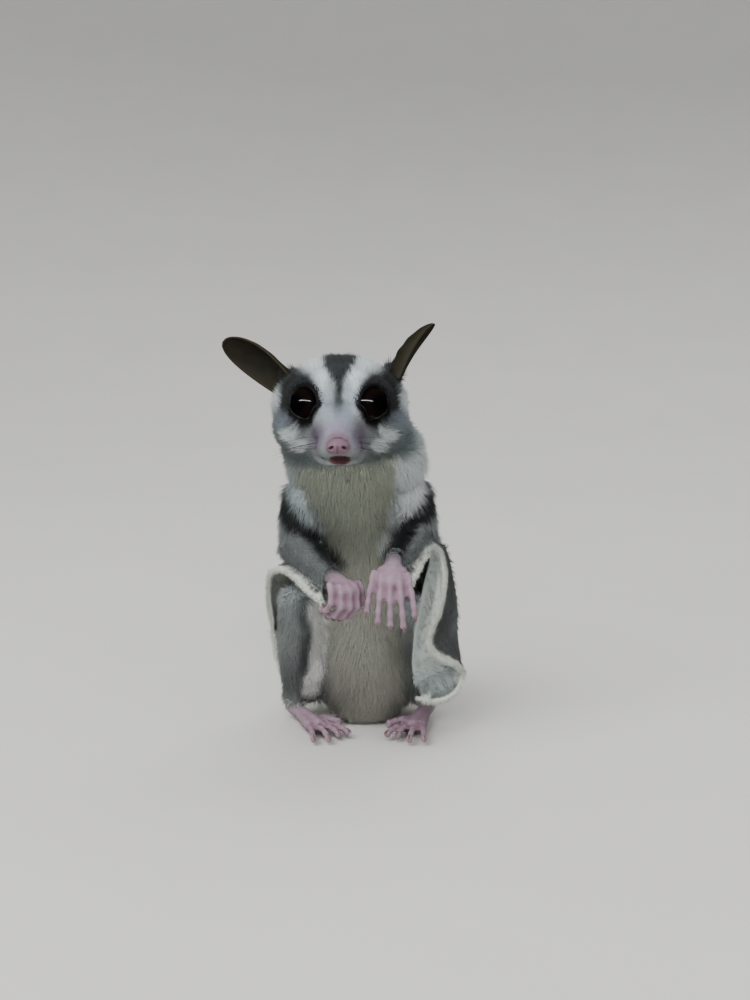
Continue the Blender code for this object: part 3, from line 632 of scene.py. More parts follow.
@dataclass
class Tubes:
    """Tapered round tubes along smooth lines, gathered in one curve and made one mesh."""

    roundness: int = 3
    steps: int = 3
    lines: list[tuple[list[Vector], list[float]]] = field(default_factory=list)

    def add(self, points: Line, radii: tuple[float, ...]) -> None:
        """Adds a tube through points with a radius at each, in millimetres."""
        self.lines.append((smooth_line(points, self.steps), smooth_values(radii, self.steps)))

    def mesh(self) -> bpy.types.Mesh:
        """Makes the tubes one mesh of closed bodies, in millimetres.

        Returns:
            The mesh.
        """
        curve = bpy.data.curves.new("tubes", "CURVE")
        curve.dimensions = "3D"
        curve.bevel_depth = 1.0
        curve.bevel_resolution = self.roundness
        curve.use_fill_caps = True
        for line, radii in self.lines:
            spline = curve.splines.new("POLY")
            spline.points.add(len(line) - 1)
            for knot, point, radius in zip(spline.points, line, radii):
                knot.co = (*point, 1.0)
                knot.radius = max(radius, 0.004)
        obj = bpy.data.objects.new("tubes", curve)
        bpy.context.scene.collection.objects.link(obj)
        graph = bpy.context.evaluated_depsgraph_get()
        mesh = bpy.data.meshes.new_from_object(obj.evaluated_get(graph))
        bpy.data.objects.remove(obj)
        bpy.data.curves.remove(curve)
        return mesh


def merge_into(bm: bmesh.types.BMesh, mesh: bpy.types.Mesh) -> None:
    """Adds a scratch mesh to a bmesh, joins its doubles, and drops it.

    Args:
        bm: The bmesh that takes it.
        mesh: The scratch mesh.
    """
    bm.from_mesh(mesh)
    bmesh.ops.remove_doubles(bm, verts=bm.verts, dist=1e-4)
    bpy.data.meshes.remove(mesh)


def set_points(mesh: bpy.types.Mesh, name: str, values: np.ndarray) -> None:
    """Stores one number or one colour for each point of a mesh.

    Args:
        mesh: The mesh.
        name: The attribute's name.
        values: One number, or one row of three linear shares, a point.
    """
    if values.ndim == 1:
        layer = mesh.attributes.new(name, "FLOAT", "POINT")
        layer.data.foreach_set("value", values.astype(np.float32))
        return
    layer = mesh.color_attributes.new(name, "FLOAT_COLOR", "POINT")
    full = np.ones((len(values), 4), np.float32)
    full[:, :3] = values
    layer.data.foreach_set("color", full.ravel())


def dress(obj: bpy.types.Object, material: bpy.types.Material) -> bpy.types.Object:
    """Gives a piece its material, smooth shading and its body.

    Args:
        obj: The piece.
        material: Its finish.

    Returns:
        The same piece.
    """
    obj.data.materials.clear()
    obj.data.materials.append(material)
    obj.data.shade_smooth()
    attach(obj, "root")
    LOG.info("%s: %d faces", obj.name, len(obj.data.polygons))
    return obj


class Surface:
    """A triangle mesh as arrays in millimetres, with what is known at its points."""

    def __init__(self, mesh: bpy.types.Mesh) -> None:
        """Reads the mesh."""
        self.co = np.zeros(len(mesh.vertices) * 3)
        mesh.vertices.foreach_get("co", self.co)
        self.co = self.co.reshape(-1, 3) / MM
        mesh.calc_loop_triangles()
        self.tris = np.zeros(len(mesh.loop_triangles) * 3, int)
        mesh.loop_triangles.foreach_get("vertices", self.tris)
        self.tris = self.tris.reshape(-1, 3)
        self.edges = np.zeros(len(mesh.edges) * 2, int)
        mesh.edges.foreach_get("vertices", self.edges)
        self.edges = self.edges.reshape(-1, 2)
        self.degree = np.bincount(self.edges.ravel(), minlength=len(self.co)).astype(float)
        self.normals = self.point_normals()

    def point_normals(self) -> np.ndarray:
        """Works out the outward direction at each point.

        Returns:
            One unit row a point.
        """
        a, b, c = (self.co[self.tris[:, k]] for k in range(3))
        flat = np.cross(b - a, c - a)
        total = np.zeros_like(self.co)
        for k in range(3):
            for axis in range(3):
                total[:, axis] += np.bincount(self.tris[:, k], flat[:, axis], len(self.co))
        return unit(total)

    def areas(self) -> np.ndarray:
        """The area of each triangle."""
        a, b, c = (self.co[self.tris[:, k]] for k in range(3))
        return 0.5 * np.linalg.norm(np.cross(b - a, c - a), axis=1)

    def around(self, values: np.ndarray) -> np.ndarray:
        """The mean of each point's neighbours.

        Args:
            values: A number or a row a point.

        Returns:
            The means, in the same form.
        """
        flat = values.reshape(len(values), -1)
        total = np.empty_like(flat)
        first, second = self.edges[:, 0], self.edges[:, 1]
        for k in range(flat.shape[1]):
            total[:, k] = np.bincount(first, flat[second, k], len(flat))
            total[:, k] += np.bincount(second, flat[first, k], len(flat))
        return (total / self.degree[:, None]).reshape(values.shape)

    def smooth(self, values: np.ndarray, rounds: int) -> np.ndarray:
        """Evens out what is known at the points over the surface.

        Args:
            values: A number or a row a point.
            rounds: How many times each point moves half way to its neighbours' mean.

        Returns:
            The evened values.
        """
        values = values.astype(float)
        for _ in range(rounds):
            values = 0.5 * (values + self.around(values))
        return values

    def level(self, vectors: np.ndarray) -> np.ndarray:
        """Lays vectors flat on the surface and brings them to length one."""
        return unit(vectors - self.normals * np.sum(vectors * self.normals, axis=1, keepdims=True))


# Coat regions


class Lie(Enum):
    """Which way the hair of a region points."""

    FROM_NOSE = 1
    DOWN = 2
    ALONG = 3
    TO_EDGE = 4
    BACK = 5


class Half(Enum):
    """Which part of its nodes a coat piece covers."""

    WHOLE = 0
    FRONT = 1
    BACK = 2


@dataclass(frozen=True)
class Zone:
    """How the coat grows on one node. Lengths in millimetres, lift in degrees."""

    node: str
    axis: Line
    lie: Lie
    depth: float
    length: float
    width: float
    lift: float
    density: float = 1.0
    edge: Line = ()


@dataclass(frozen=True)
class CoatPiece:
    """One mesh of tufts: which nodes it covers and how many tufts it has."""

    name: str
    nodes: tuple[str, ...]
    tufts: int
    half: Half = Half.WHOLE
    rings: int = 1
    slot: str = "fur_body"


HEAD_AXIS: Line = ((-6.7, 2.0, 86.0), (-6.7, -44.0, 80.0))
ZONES: tuple[Zone, ...] = (
    Zone("torso", SPINE_LINE, Lie.DOWN, 2.6, 4.8, 0.32, 18),
    Zone("neck", SPINE_LINE, Lie.DOWN, 2.3, 4.4, 0.30, 18),
    Zone("head", HEAD_AXIS, Lie.FROM_NOSE, 1.3, 3.0, 0.25, 22, 1.5),
    Zone("nose", HEAD_AXIS, Lie.FROM_NOSE, 0.0, 0.6, 0.12, 10, 0.0),
    Zone("upper_arm_right", ARM_RIGHT, Lie.ALONG, 1.7, 3.8, 0.29, 17),
    Zone("upper_arm_left", ARM_LEFT, Lie.ALONG, 1.7, 3.8, 0.29, 17),
    Zone("forearm_right", ARM_RIGHT, Lie.ALONG, 0.9, 2.5, 0.24, 14, 1.6),
    Zone("forearm_left", ARM_LEFT, Lie.ALONG, 0.9, 2.5, 0.24, 14, 1.6),
    Zone("hand_right", ARM_RIGHT, Lie.ALONG, 0.0, 1.1, 0.16, 10, 1.8),
    Zone("hand_left", ARM_LEFT, Lie.ALONG, 0.0, 1.1, 0.16, 10, 1.8),
    Zone("thigh_right", LEG_RIGHT, Lie.BACK, 2.1, 4.4, 0.31, 17),
    Zone("thigh_left", LEG_LEFT, Lie.BACK, 2.1, 4.4, 0.31, 17),
    Zone("shank_right", LEG_RIGHT, Lie.ALONG, 1.3, 3.2, 0.27, 15, 1.3),
    Zone("shank_left", LEG_LEFT, Lie.ALONG, 1.3, 3.2, 0.27, 15, 1.3),
    Zone("foot_right", LEG_RIGHT, Lie.ALONG, 0.0, 1.2, 0.16, 10, 1.8),
    Zone("foot_left", LEG_LEFT, Lie.ALONG, 0.0, 1.2, 0.16, 10, 1.8),
    Zone("patagium_right", EDGE_RIGHT, Lie.TO_EDGE, 0.15, 2.0, 0.22, 10, 1.2, EDGE_RIGHT),
    Zone("patagium_left", EDGE_LEFT, Lie.TO_EDGE, 0.15, 2.0, 0.22, 10, 1.2, EDGE_LEFT + LOOP_LEFT[1:]),
    Zone("tail_root", TAIL_LINE, Lie.ALONG, 0.0, 13.0, 0.42, 26),
    Zone("tail_middle", TAIL_LINE, Lie.ALONG, 0.0, 16.5, 0.44, 31),
    Zone("tail_tip", TAIL_LINE, Lie.ALONG, 0.0, 17.0, 0.44, 31),
)
ARMS = ("upper_arm_right", "upper_arm_left", "forearm_right", "forearm_left", "hand_right", "hand_left")
LEGS = ("thigh_right", "thigh_left", "shank_right", "shank_left", "foot_right", "foot_left")
COAT_PIECES: tuple[CoatPiece, ...] = (
    CoatPiece("coat_face", ("head",), 49000, Half.FRONT),
    CoatPiece("coat_crown", ("head", "neck"), 46000, Half.BACK),
    CoatPiece("coat_chest", ("torso", "neck"), 38000, Half.FRONT),
    CoatPiece("coat_back", ("torso",), 46000, Half.BACK),
    CoatPiece("coat_arms", ARMS, 33000),
    CoatPiece("coat_legs", LEGS, 38000),
    CoatPiece("coat_membranes", ("patagium_right", "patagium_left"), 36000),
    CoatPiece("coat_tail_base", ("tail_root",), 9500, Half.WHOLE, 2, "fur_tail"),
    CoatPiece("coat_tail_middle", ("tail_middle",), 9500, Half.WHOLE, 2, "fur_tail"),
    CoatPiece("coat_tail_end", ("tail_tip",), 9500, Half.WHOLE, 2, "fur_tail"),
)


# Markings


class Seen(Enum):
    """From where a band is laid out: in space, or flat as seen from the front or the back."""

    AROUND = 0
    FRONT = 1
    BACK = 2


@dataclass(frozen=True)
class Patch:
    """A soft oval of colour in the head's frame, alike on both sides."""

    colour: tuple[int, int, int]
    centre: Point
    radii: Point
    soft: float = 0.25
    strength: float = 1.0


@dataclass(frozen=True)
class Stripe:
    """A soft band of colour along a line in the model's frame."""

    colour: tuple[int, int, int]
    line: Line
    width: float
    soft: float = 0.8
    strength: float = 1.0
    nodes: tuple[str, ...] = ()
    seen: Seen = Seen.AROUND


@dataclass
class Markings:
    """The animal's colours, worked out from places on its body."""

    grey: tuple[int, int, int] = (150, 157, 159)
    dark: tuple[int, int, int] = (27, 30, 32)
    white: tuple[int, int, int] = (210, 218, 221)
    cream: tuple[int, int, int] = (232, 237, 228)
    bib: tuple[int, int, int] = (168, 174, 160)
    pink: tuple[int, int, int] = (156, 134, 148)
    mouth: tuple[int, int, int] = (98, 62, 66)

    def head_patches(self) -> list[Patch]:
        """The face, painted from the back of the list's order to its front."""
        return [
            Patch((138, 146, 148), (0.0, 6.0, -12.0), (14.0, 18.0, 7.0), 0.4, 0.8),
            # Darker grey low on the jaw's sides: the jaw's own greyer fur, with painted shadow under the jaw.
            Patch((98, 108, 109), (12.4, 5.0, -11.4), (6.8, 10.0, 7.0), 0.35, 0.9),
            Patch(self.white, (7.4, 7.0, 10.4), (4.2, 12.0, 5.2), 0.28),
            Patch(self.white, (4.8, 12.0, 5.6), (2.4, 8.0, 4.6), 0.35, 0.95),
            Patch((166, 176, 186), (3.0, 16.0, 0.6), (1.7, 8.0, 4.0), 0.4, 0.9),
            Patch((150, 160, 174), (0.0, 17.0, -4.4), (3.0, 8.0, 3.8), 0.4, 0.85),
            Patch(self.dark, (9.6, 8.5, 0.4), (5.8, 9.5, 7.1), 0.18),
            Patch(self.dark, (13.2, 1.0, 5.8), (3.9, 7.5, 3.8), 0.35, 0.95),
            Patch(self.dark, (14.6, -4.5, 5.4), (4.2, 5.5, 4.8), 0.35, 0.95),
            Patch((122, 132, 144), (13.8, 5.0, -4.6), (3.0, 6.0, 2.4), 0.4, 0.8),
            Patch(self.white, (15.9, 2.6, 0.4), (1.7, 4.6, 3.9), 0.35, 0.95),
            Patch((206, 215, 218), (11.5, 7.0, -7.6), (2.0, 8.0, 1.6), 0.28, 1.0),
            Patch((206, 215, 218), (9.1, 10.0, -9.9), (2.0, 8.0, 1.8), 0.28, 1.0),
            Patch((124, 110, 133), (4.8, 16.5, -7.8), (2.5, 5.6, 3.5), 0.45, 0.9),
            Patch((152, 142, 164), (0.0, 19.5, -6.4), (2.9, 5.0, 2.8), 0.45, 0.8),
            Patch((150, 126, 144), (0.0, 22.5, -8.8), (3.0, 3.2, 3.0), 0.40, 0.9),
        ]

    def stripes(self) -> list[Stripe]:
        """The bands on trunk, arms and legs."""
        trunk = ("torso", "neck")
        near = trunk + ("upper_arm_right", "upper_arm_left", "forearm_right", "forearm_left")
        leg = ("thigh_right", "shank_right")
        front, back = Seen.FRONT, Seen.BACK
        # shade is painted shade, laid beside the right shank.
        pale, shade, lining = (176, 188, 192), (70, 77, 78), (247, 250, 248)
        shoulder: Line = ((-21.4, 0, 76.0), (-20.2, 0, 68.0), (-17.4, 0, 61.0), (-13.4, 0, 56.6))
        collar: Line = ((13.2, 0, 84.0), (13.6, 0, 76.0), (12.8, 0, 70.0))
        flank: Line = ((11.0, 0, 79.0), (11.2, 0, 68.0), (9.8, 0, 63.0))
        arm_right: Line = (
            (-23.4, 0, 70.0), (-20.6, 0, 61.0), (-16.4, 0, 55.4), (-11.6, 0, 51.8), (-7.3, 0, 48.4),
        )
        arm_left: Line = ((18.0, 0, 72.0), (16.2, 0, 63.0), (12.2, 0, 56.6), (8.2, 0, 52.6), (5.8, 0, 49.0))
        shin: Line = ((-13.4, 0, 36.0), (-12.4, 0, 29.6), (-13.1, 0, 18.2), (-15.2, 0, 10.5))
        spine: Line = (
            (-6.7, 0, 104.0), (-6.5, 0, 92.0), (-5.6, 0, 80.0), (-3.6, 0, 68.0), (-1.6, 0, 54.0),
            (-0.4, 0, 40.0), (0.0, 0, 20.0),
        )
        return [
            Stripe(pale, shoulder, 2.6, 1.6, 0.85, near, front),
            Stripe(pale, collar, 2.0, 1.6, 0.8, near + ("head",), front),
            Stripe(self.white, flank, 3.4, 1.4, 1.0, near, front),
            Stripe(self.white, ((9.4, 0, 63.0), (6.6, 0, 57.8)), 2.0, 1.2, 1.0, near, front),
            Stripe(self.white, ((6.6, 0, 57.8), (4.6, 0, 54.2), (3.4, 0, 51.4)), 0.9, 0.6, 1.0, near, front),
            Stripe(self.dark, arm_right, 2.1, 1.3, 0.95, near, front),
            Stripe(self.dark, arm_left, 2.2, 1.2, 0.95, near, front),
            # Painted shade: a dark strip between the right shank and its pale band, along the crease there.
            Stripe(shade, ((-16.4, 0, 36.0), (-15.6, 0, 29.0), (-16.3, 0, 18.0)), 1.2, 1.4, 0.85, leg, front),
            Stripe(lining, shin, 2.0, 1.0, 1.0, leg + ("torso", "patagium_right"), front),
            Stripe((186, 194, 192), LINING_LEFT, 2.4, 1.2, 0.9),
            Stripe((176, 188, 190), ((19.6, -17.8, 15.6), (16.6, -18.6, 15.0)), 4.4, 1.4, 0.9),
            Stripe(self.cream, LOOP_LEFT, 1.7, 0.6, 1.0),
            Stripe(self.dark, spine, 2.0, 1.8, 0.9, trunk + ("head",), back),
        ]

    def head_colours(self, points: np.ndarray, colours: np.ndarray) -> np.ndarray:
        """Paints the head.

        Args:
            points: Places in the head's frame.
            colours: What is there so far.

        Returns:
            The painted colours.
        """
        folded = points.copy()
        folded[:, 0] = np.abs(folded[:, 0])
        for patch in self.head_patches():
            away = np.linalg.norm((folded - np.array(patch.centre)) / np.array(patch.radii), axis=1)
            share = smoothstep(1.0 + patch.soft, 1.0 - patch.soft, away) * patch.strength
            colours = mix(colours, linear(*patch.colour), share[:, None])
        up, forward = points[:, 2], points[:, 1]
        half = (0.9 + 3.4 * smoothstep(3.5, 10.0, up)) * mix(0.42, 1.0, smoothstep(-9.0, 3.0, forward))
        wide = smoothstep(half + 0.7, half - 0.5, folded[:, 0])
        crown = wide * smoothstep(-4.5, 3.0, up) * smoothstep(-16.0, -8.0, forward + 0.35 * up)
        return mix(colours, linear(*self.dark), (crown * 0.95)[:, None])

    def colours(self, surface: "Surface", zone: np.ndarray, names: list[str]) -> np.ndarray:
        """Works out the coat's colour at each point of the skin.

        Args:
            surface: The skin.
            zone: The number of each point's node.
            names: The nodes' names by number.

        Returns:
            One linear colour a point.
        """
        points, normals = surface.co, surface.normals
        colour = np.tile(linear(*self.grey), (len(points), 1))
        wave = np.sin(points @ np.array((0.9, 0.5, 0.3))) * np.sin(points @ np.array((-0.3, 0.8, 0.7)))
        colour *= (1.0 + 0.06 * wave)[:, None]

        def part(*wanted: str) -> np.ndarray:
            """Tells which points lie on the nodes."""
            return np.isin(zone, [names.index(n) for n in wanted])

        def paint(share: np.ndarray, tone: tuple[int, int, int]) -> None:
            """Lays a colour over what is there."""
            nonlocal colour
            colour = mix(colour, linear(*tone), np.clip(share, 0.0, 1.0)[:, None])

        trunk = surface.smooth(part("torso", "neck").astype(float), 6)
        front = smoothstep(0.1, -0.6, normals[:, 1])
        front = np.maximum(front, smoothstep(0.0, -0.5, normals[:, 2]))
        paint(trunk * front, self.bib)
        paint(trunk * front * smoothstep(56.0, 40.0, points[:, 2]), (188, 189, 179))
        side = smoothstep(0.15, 0.7, np.abs(normals[:, 0]))
        paint(trunk * smoothstep(-0.2, 0.5, normals[:, 1]) * (1.0 - 0.5 * side) * 0.25, (96, 100, 104))
        head = surface.smooth(part("head", "nose").astype(float), 3)
        colour = mix(colour, self.head_colours(head_frame(points), colour), head[:, None])
        for right, sign in (("right", -1.0), ("left", 1.0)):
            lower = surface.smooth(part("forearm_" + right, "hand_" + right).astype(float), 12)
            paint(lower * 0.5, (98, 100, 100))
            wrist = surface.smooth(part("hand_" + right).astype(float), 8)
            paint(wrist * 0.8, (104, 98, 103))
            leg = surface.smooth(part("thigh_" + right, "shank_" + right).astype(float), 8)
            # Painted shade: the legs grow darker towards the floor.
            paint(leg * smoothstep(26.0, 14.0, points[:, 2]) * 0.7, (98, 106, 105))
            line = EDGE_RIGHT if sign < 0 else EDGE_LEFT
            away, _, _ = nearest_on_line(points, smooth_line(line, 4))
            sheet = surface.smooth(part("patagium_" + right).astype(float), 2)
            outer = smoothstep(-0.25, 0.25, normals[:, 0] * sign + 0.4 * normals[:, 1])
            behind = 0.0 if sign < 0 else -7.0
            inner = sheet * (1.0 - outer) * smoothstep(13.0, 9.0, away)
            inner = inner * smoothstep(behind + 2.0, behind - 2.0, points[:, 1])
            paint(sheet, (116, 122, 124))
            paint(sheet * outer * smoothstep(16.0, 7.0, away), (84, 88, 88))
            paint(inner, (128, 128, 118))
            paint(inner * smoothstep(7.5, 3.0, away), (176, 182, 176))
            paint(inner * smoothstep(32.0, 22.0, points[:, 2]), (178, 186, 184))
            paint(sheet * smoothstep(2.1, 1.4, away), self.cream)
            shin = surface.smooth(part("shank_" + right, "foot_" + right).astype(float), 6)
            paint(shin * smoothstep(11.0, 5.0, points[:, 2]) * 0.8, (188, 190, 188))
        for stripe in self.stripes():
            flat = stripe.seen is not Seen.AROUND
            line = stripe.line if flat else smooth_line(stripe.line, 4)
            places = points * np.array((1.0, 0.0, 1.0)) if flat else points
            away, _, _ = nearest_on_line(places, line)
            share = smoothstep(stripe.width + stripe.soft, stripe.width - 0.5 * stripe.soft, away)
            share = share * stripe.strength
            if stripe.seen is Seen.FRONT:
                share = share * smoothstep(0.8, 0.3, normals[:, 1])
            elif stripe.seen is Seen.BACK:
                share = share * smoothstep(-0.25, 0.25, normals[:, 1])
            if stripe.nodes:
                share = share * surface.smooth(part(*stripe.nodes).astype(float), 4)
            paint(share, stripe.colour)
        tail = surface.smooth(part("tail_root", "tail_middle", "tail_tip").astype(float), 4)
        _, along, _ = nearest_on_line(points, TAIL_LINE)
        paint(tail * 0.8 * smoothstep(0.0, 0.2, along), (98, 101, 104))
        paint(tail * smoothstep(0.58, 0.86, along), (33, 33, 35))
        return colour


# Paws


@dataclass
class Paws:
    """The shapes of forefeet and hind feet: palms, digits with pads, and their claws."""

    palm: Point = (4.7, 4.4, 2.35)
    finger_lengths: Point = (4.0, 3.8, 2.9)
    finger_shares: tuple[float, ...] = (0.80, 0.96, 1.0, 1.04, 0.84)
    finger_radius: float = 1.22
    knuckle_step: float = 2.2
    toe_lengths: Point = (3.4, 3.0, 2.4)
    toe_bends: Point = (0.0, 12.0, 10.0)
    toes: tuple[tuple[float, float], ...] = ((-1.5, 0.80), (-0.6, 0.84), (0.45, 1.12), (1.5, 1.0))
    toe_radius: float = 1.22
    big_toe_lengths: Point = (2.4, 2.2, 1.7)
    big_toe_bends: Point = (0.0, 6.0, 8.0)
    big_toe_radius: float = 1.4
    profile: tuple[float, ...] = (1.0, 1.10, 0.90, 1.04, 0.86, 1.0, 0.86, 1.08, 0.66)
    flesh: Tubes = field(default_factory=lambda: Tubes(3, 2))
    claws: Tubes = field(default_factory=lambda: Tubes(2, 4))
    balls: list[tuple[Vector, Point, Matrix]] = field(default_factory=list)
    digits: list[tuple[str, Line]] = field(default_factory=list)

    def claw(self, root: Vector, heading: Vector, floorward: Vector) -> None:
        """Adds a small hooked claw at a root, pointing along the heading and down.

        Args:
            root: Where it grows.
            heading: The way of the digit's end.
            floorward: The way it hooks.
        """
        middle = root + heading * 1.3 - floorward * 0.15
        end = middle + heading * 0.6 + floorward * 0.6
        self.claws.add([tuple(root), tuple(middle), tuple(end)], (0.30, 0.24, 0.03))

    def digit(
        self, node: str, knuckle: Vector, heading: Vector, palm: Vector, lengths: Point, bends: Point,
        radius: float, clawed: bool = True,
    ) -> None:
        """Adds a finger or toe.

        Args:
            node: The paw that it belongs to.
            knuckle: Where it leaves the paw.
            heading: The way its first joint points.
            palm: The side that it bends towards.
            lengths: Its three joints.
            bends: How far it turns at each, in degrees.
            radius: Its half thickness.
            clawed: Whether it ends in a claw.
        """
        heading, palm = heading.normalized(), palm.normalized()
        bend_axis = heading.cross(palm).normalized()
        points = [knuckle - heading * 2.2, knuckle]
        for length, bend in zip(lengths, bends):
            heading = Matrix.Rotation(math.radians(bend), 3, bend_axis) @ heading
            points += [points[-1] + heading * length * 0.5, points[-1] + heading * length]
        pad = points[-1]
        points.append(pad + heading * 0.9)
        self.flesh.add([tuple(p) for p in points], [share * radius for share in self.profile])
        self.digits.append((node, tuple(tuple(p) for p in points[1:])))
        palm = bend_axis.cross(heading)
        self.balls.append((pad + palm * radius * 0.35, (radius * 0.95,) * 3, Matrix.Identity(4)))
        if clawed:
            self.claw(pad - palm * radius * 0.55 - heading * 0.3, heading, palm)

    def hand(
        self, node: str, wrist: Point, middle: Point, across: Point, down: Point, bends: Point, fan: float,
        lean: float,
    ) -> None:
        """Adds a forefoot.

        Args:
            node: The paw's node.
            wrist: The end of the forearm.
            middle: The middle of the palm.
            across: The way across the knuckles.
            down: The way the fingers hang.
            bends: The turn at each joint of a finger, in degrees.
            fan: How far the fingers spread.
            lean: How far they lean across.
        """
        wrist, middle = Vector(wrist), Vector(middle)
        heading = (middle - wrist).normalized()
        side = Vector(across).normalized()
        palm_way = side.cross(heading).normalized()
        side = heading.cross(palm_way).normalized()
        turn = Matrix((side, heading, palm_way)).transposed().to_4x4()
        self.balls.append((middle, self.palm, turn))
        half_way = wrist + (middle - wrist) * 0.5
        self.flesh.add([tuple(wrist), tuple(half_way), tuple(middle)], (2.5, 2.7, 2.7))
        for place in (-1.2, 0.0, 1.2):
            pad = middle + side * place * 2.0 + heading * 1.6 + palm_way * 1.7
            self.balls.append((pad, (1.5, 1.5, 1.1), turn))
        for finger, share in enumerate(self.finger_shares):
            place = finger - 2.0
            knuckle = middle + side * place * self.knuckle_step + heading * (3.0 - 0.35 * place**2)
            way = (Vector(down).normalized() + side * (place * fan + lean)).normalized()
            first = heading + (way - heading) * 0.62
            lengths = tuple(length * share for length in self.finger_lengths)
            self.digit(node, knuckle, first, palm_way, lengths, bends, self.finger_radius)

    def foot(self, node: str, ankle: Point, toes: tuple[float, float], sign: int) -> None:
        """Adds a hind foot flat on the floor, with the big toe set apart on the inside.

        Args:
            node: The paw's node.
            ankle: The end of the shank.
            toes: Where the ball of the toes lies on the floor.
            sign: The side, -1 for the animal's right.
        """
        ankle = Vector(ankle)
        heel = Vector((ankle.x, ankle.y + 1.5, 2.6))
        ball = Vector((*toes, 2.0))
        heading = Vector((ball.x - heel.x, ball.y - heel.y, 0.0)).normalized()
        inward = Vector((heading.y, -heading.x, 0.0))
        if inward.x * sign > 0:
            inward = -inward
        sole = [heel - heading * 1.5, heel, heel + (ball - heel) * 0.5, ball, ball + heading * 1.4]
        self.flesh.add([tuple(p + Vector((0, 0, 0.2))) for p in sole], (1.6, 2.4, 2.3, 2.2, 1.6))
        across = [ball - inward * 2.0 - heading * 0.6, ball + inward * 2.0 - heading * 0.6]
        for spot in across:
            self.flesh.add([tuple(mix(heel, spot, 0.4)), tuple(spot), tuple(spot + heading)], (1.8, 2.0, 1.6))
        self.flesh.add([tuple(ankle), tuple(ankle + (heel - ankle) * 0.5), tuple(heel)], (3.0, 2.9, 2.5))
        floorward = Vector((0, 0, -1))
        for place, share in self.toes:
            root = ball - inward * place * 1.9 + heading + Vector((0, 0, 0.2))
            way = heading - inward * place * 0.20 + Vector((0, 0, 0.16))
            lengths = tuple(length * share for length in self.toe_lengths)
            self.digit(node, root, way, floorward, lengths, self.toe_bends, self.toe_radius)
        root = heel + (ball - heel) * 0.62 + inward * 2.0
        self.digit(
            node, root, inward * 0.92 + heading * 0.62, floorward, self.big_toe_lengths, self.big_toe_bends,
            self.big_toe_radius, clawed=False,
        )

    def lay_out(self) -> None:
        """Sets the four paws in the pose."""
        self.hand(
            "hand_right", ARM_RIGHT[2], (-5.6, -36.4, 43.4), (0.93, 0.30, -0.1), (0.1, -0.1, -1.0),
            (30, 48, 36), 0.11, 0.12,
        )
        self.hand(
            "hand_left", ARM_LEFT[2], (6.4, -36.6, 46.4), (0.98, -0.05, 0.0), (0.05, -0.12, -1.0),
            (8, 12, 12), 0.18, 0.02,
        )
        self.foot("foot_right", LEG_RIGHT[2], TOES_RIGHT, -1)
        self.foot("foot_left", LEG_LEFT[2], TOES_LEFT, 1)

    def add_flesh(self, bm: bmesh.types.BMesh) -> None:
        """Adds the paws' flesh to the skin's rough forms.

        Args:
            bm: The bmesh that takes them, in millimetres.
        """
        merge_into(bm, self.flesh.mesh())
        for centre, radii, turn in self.balls:
            add_ball(bm, centre, radii, turn, 12)

    def build_claws(self) -> bpy.types.Object:
        """Makes the claws one piece.

        Returns:
            Their object.
        """
        bm = bmesh.new()
        merge_into(bm, self.claws.mesh())
        claws = object_of("claws", bm)
        finish = HornFinish("claw_horn", (86, 66, 66), (140, 116, 116), 0.26)
        return dress(claws, finish.material())


# Skin


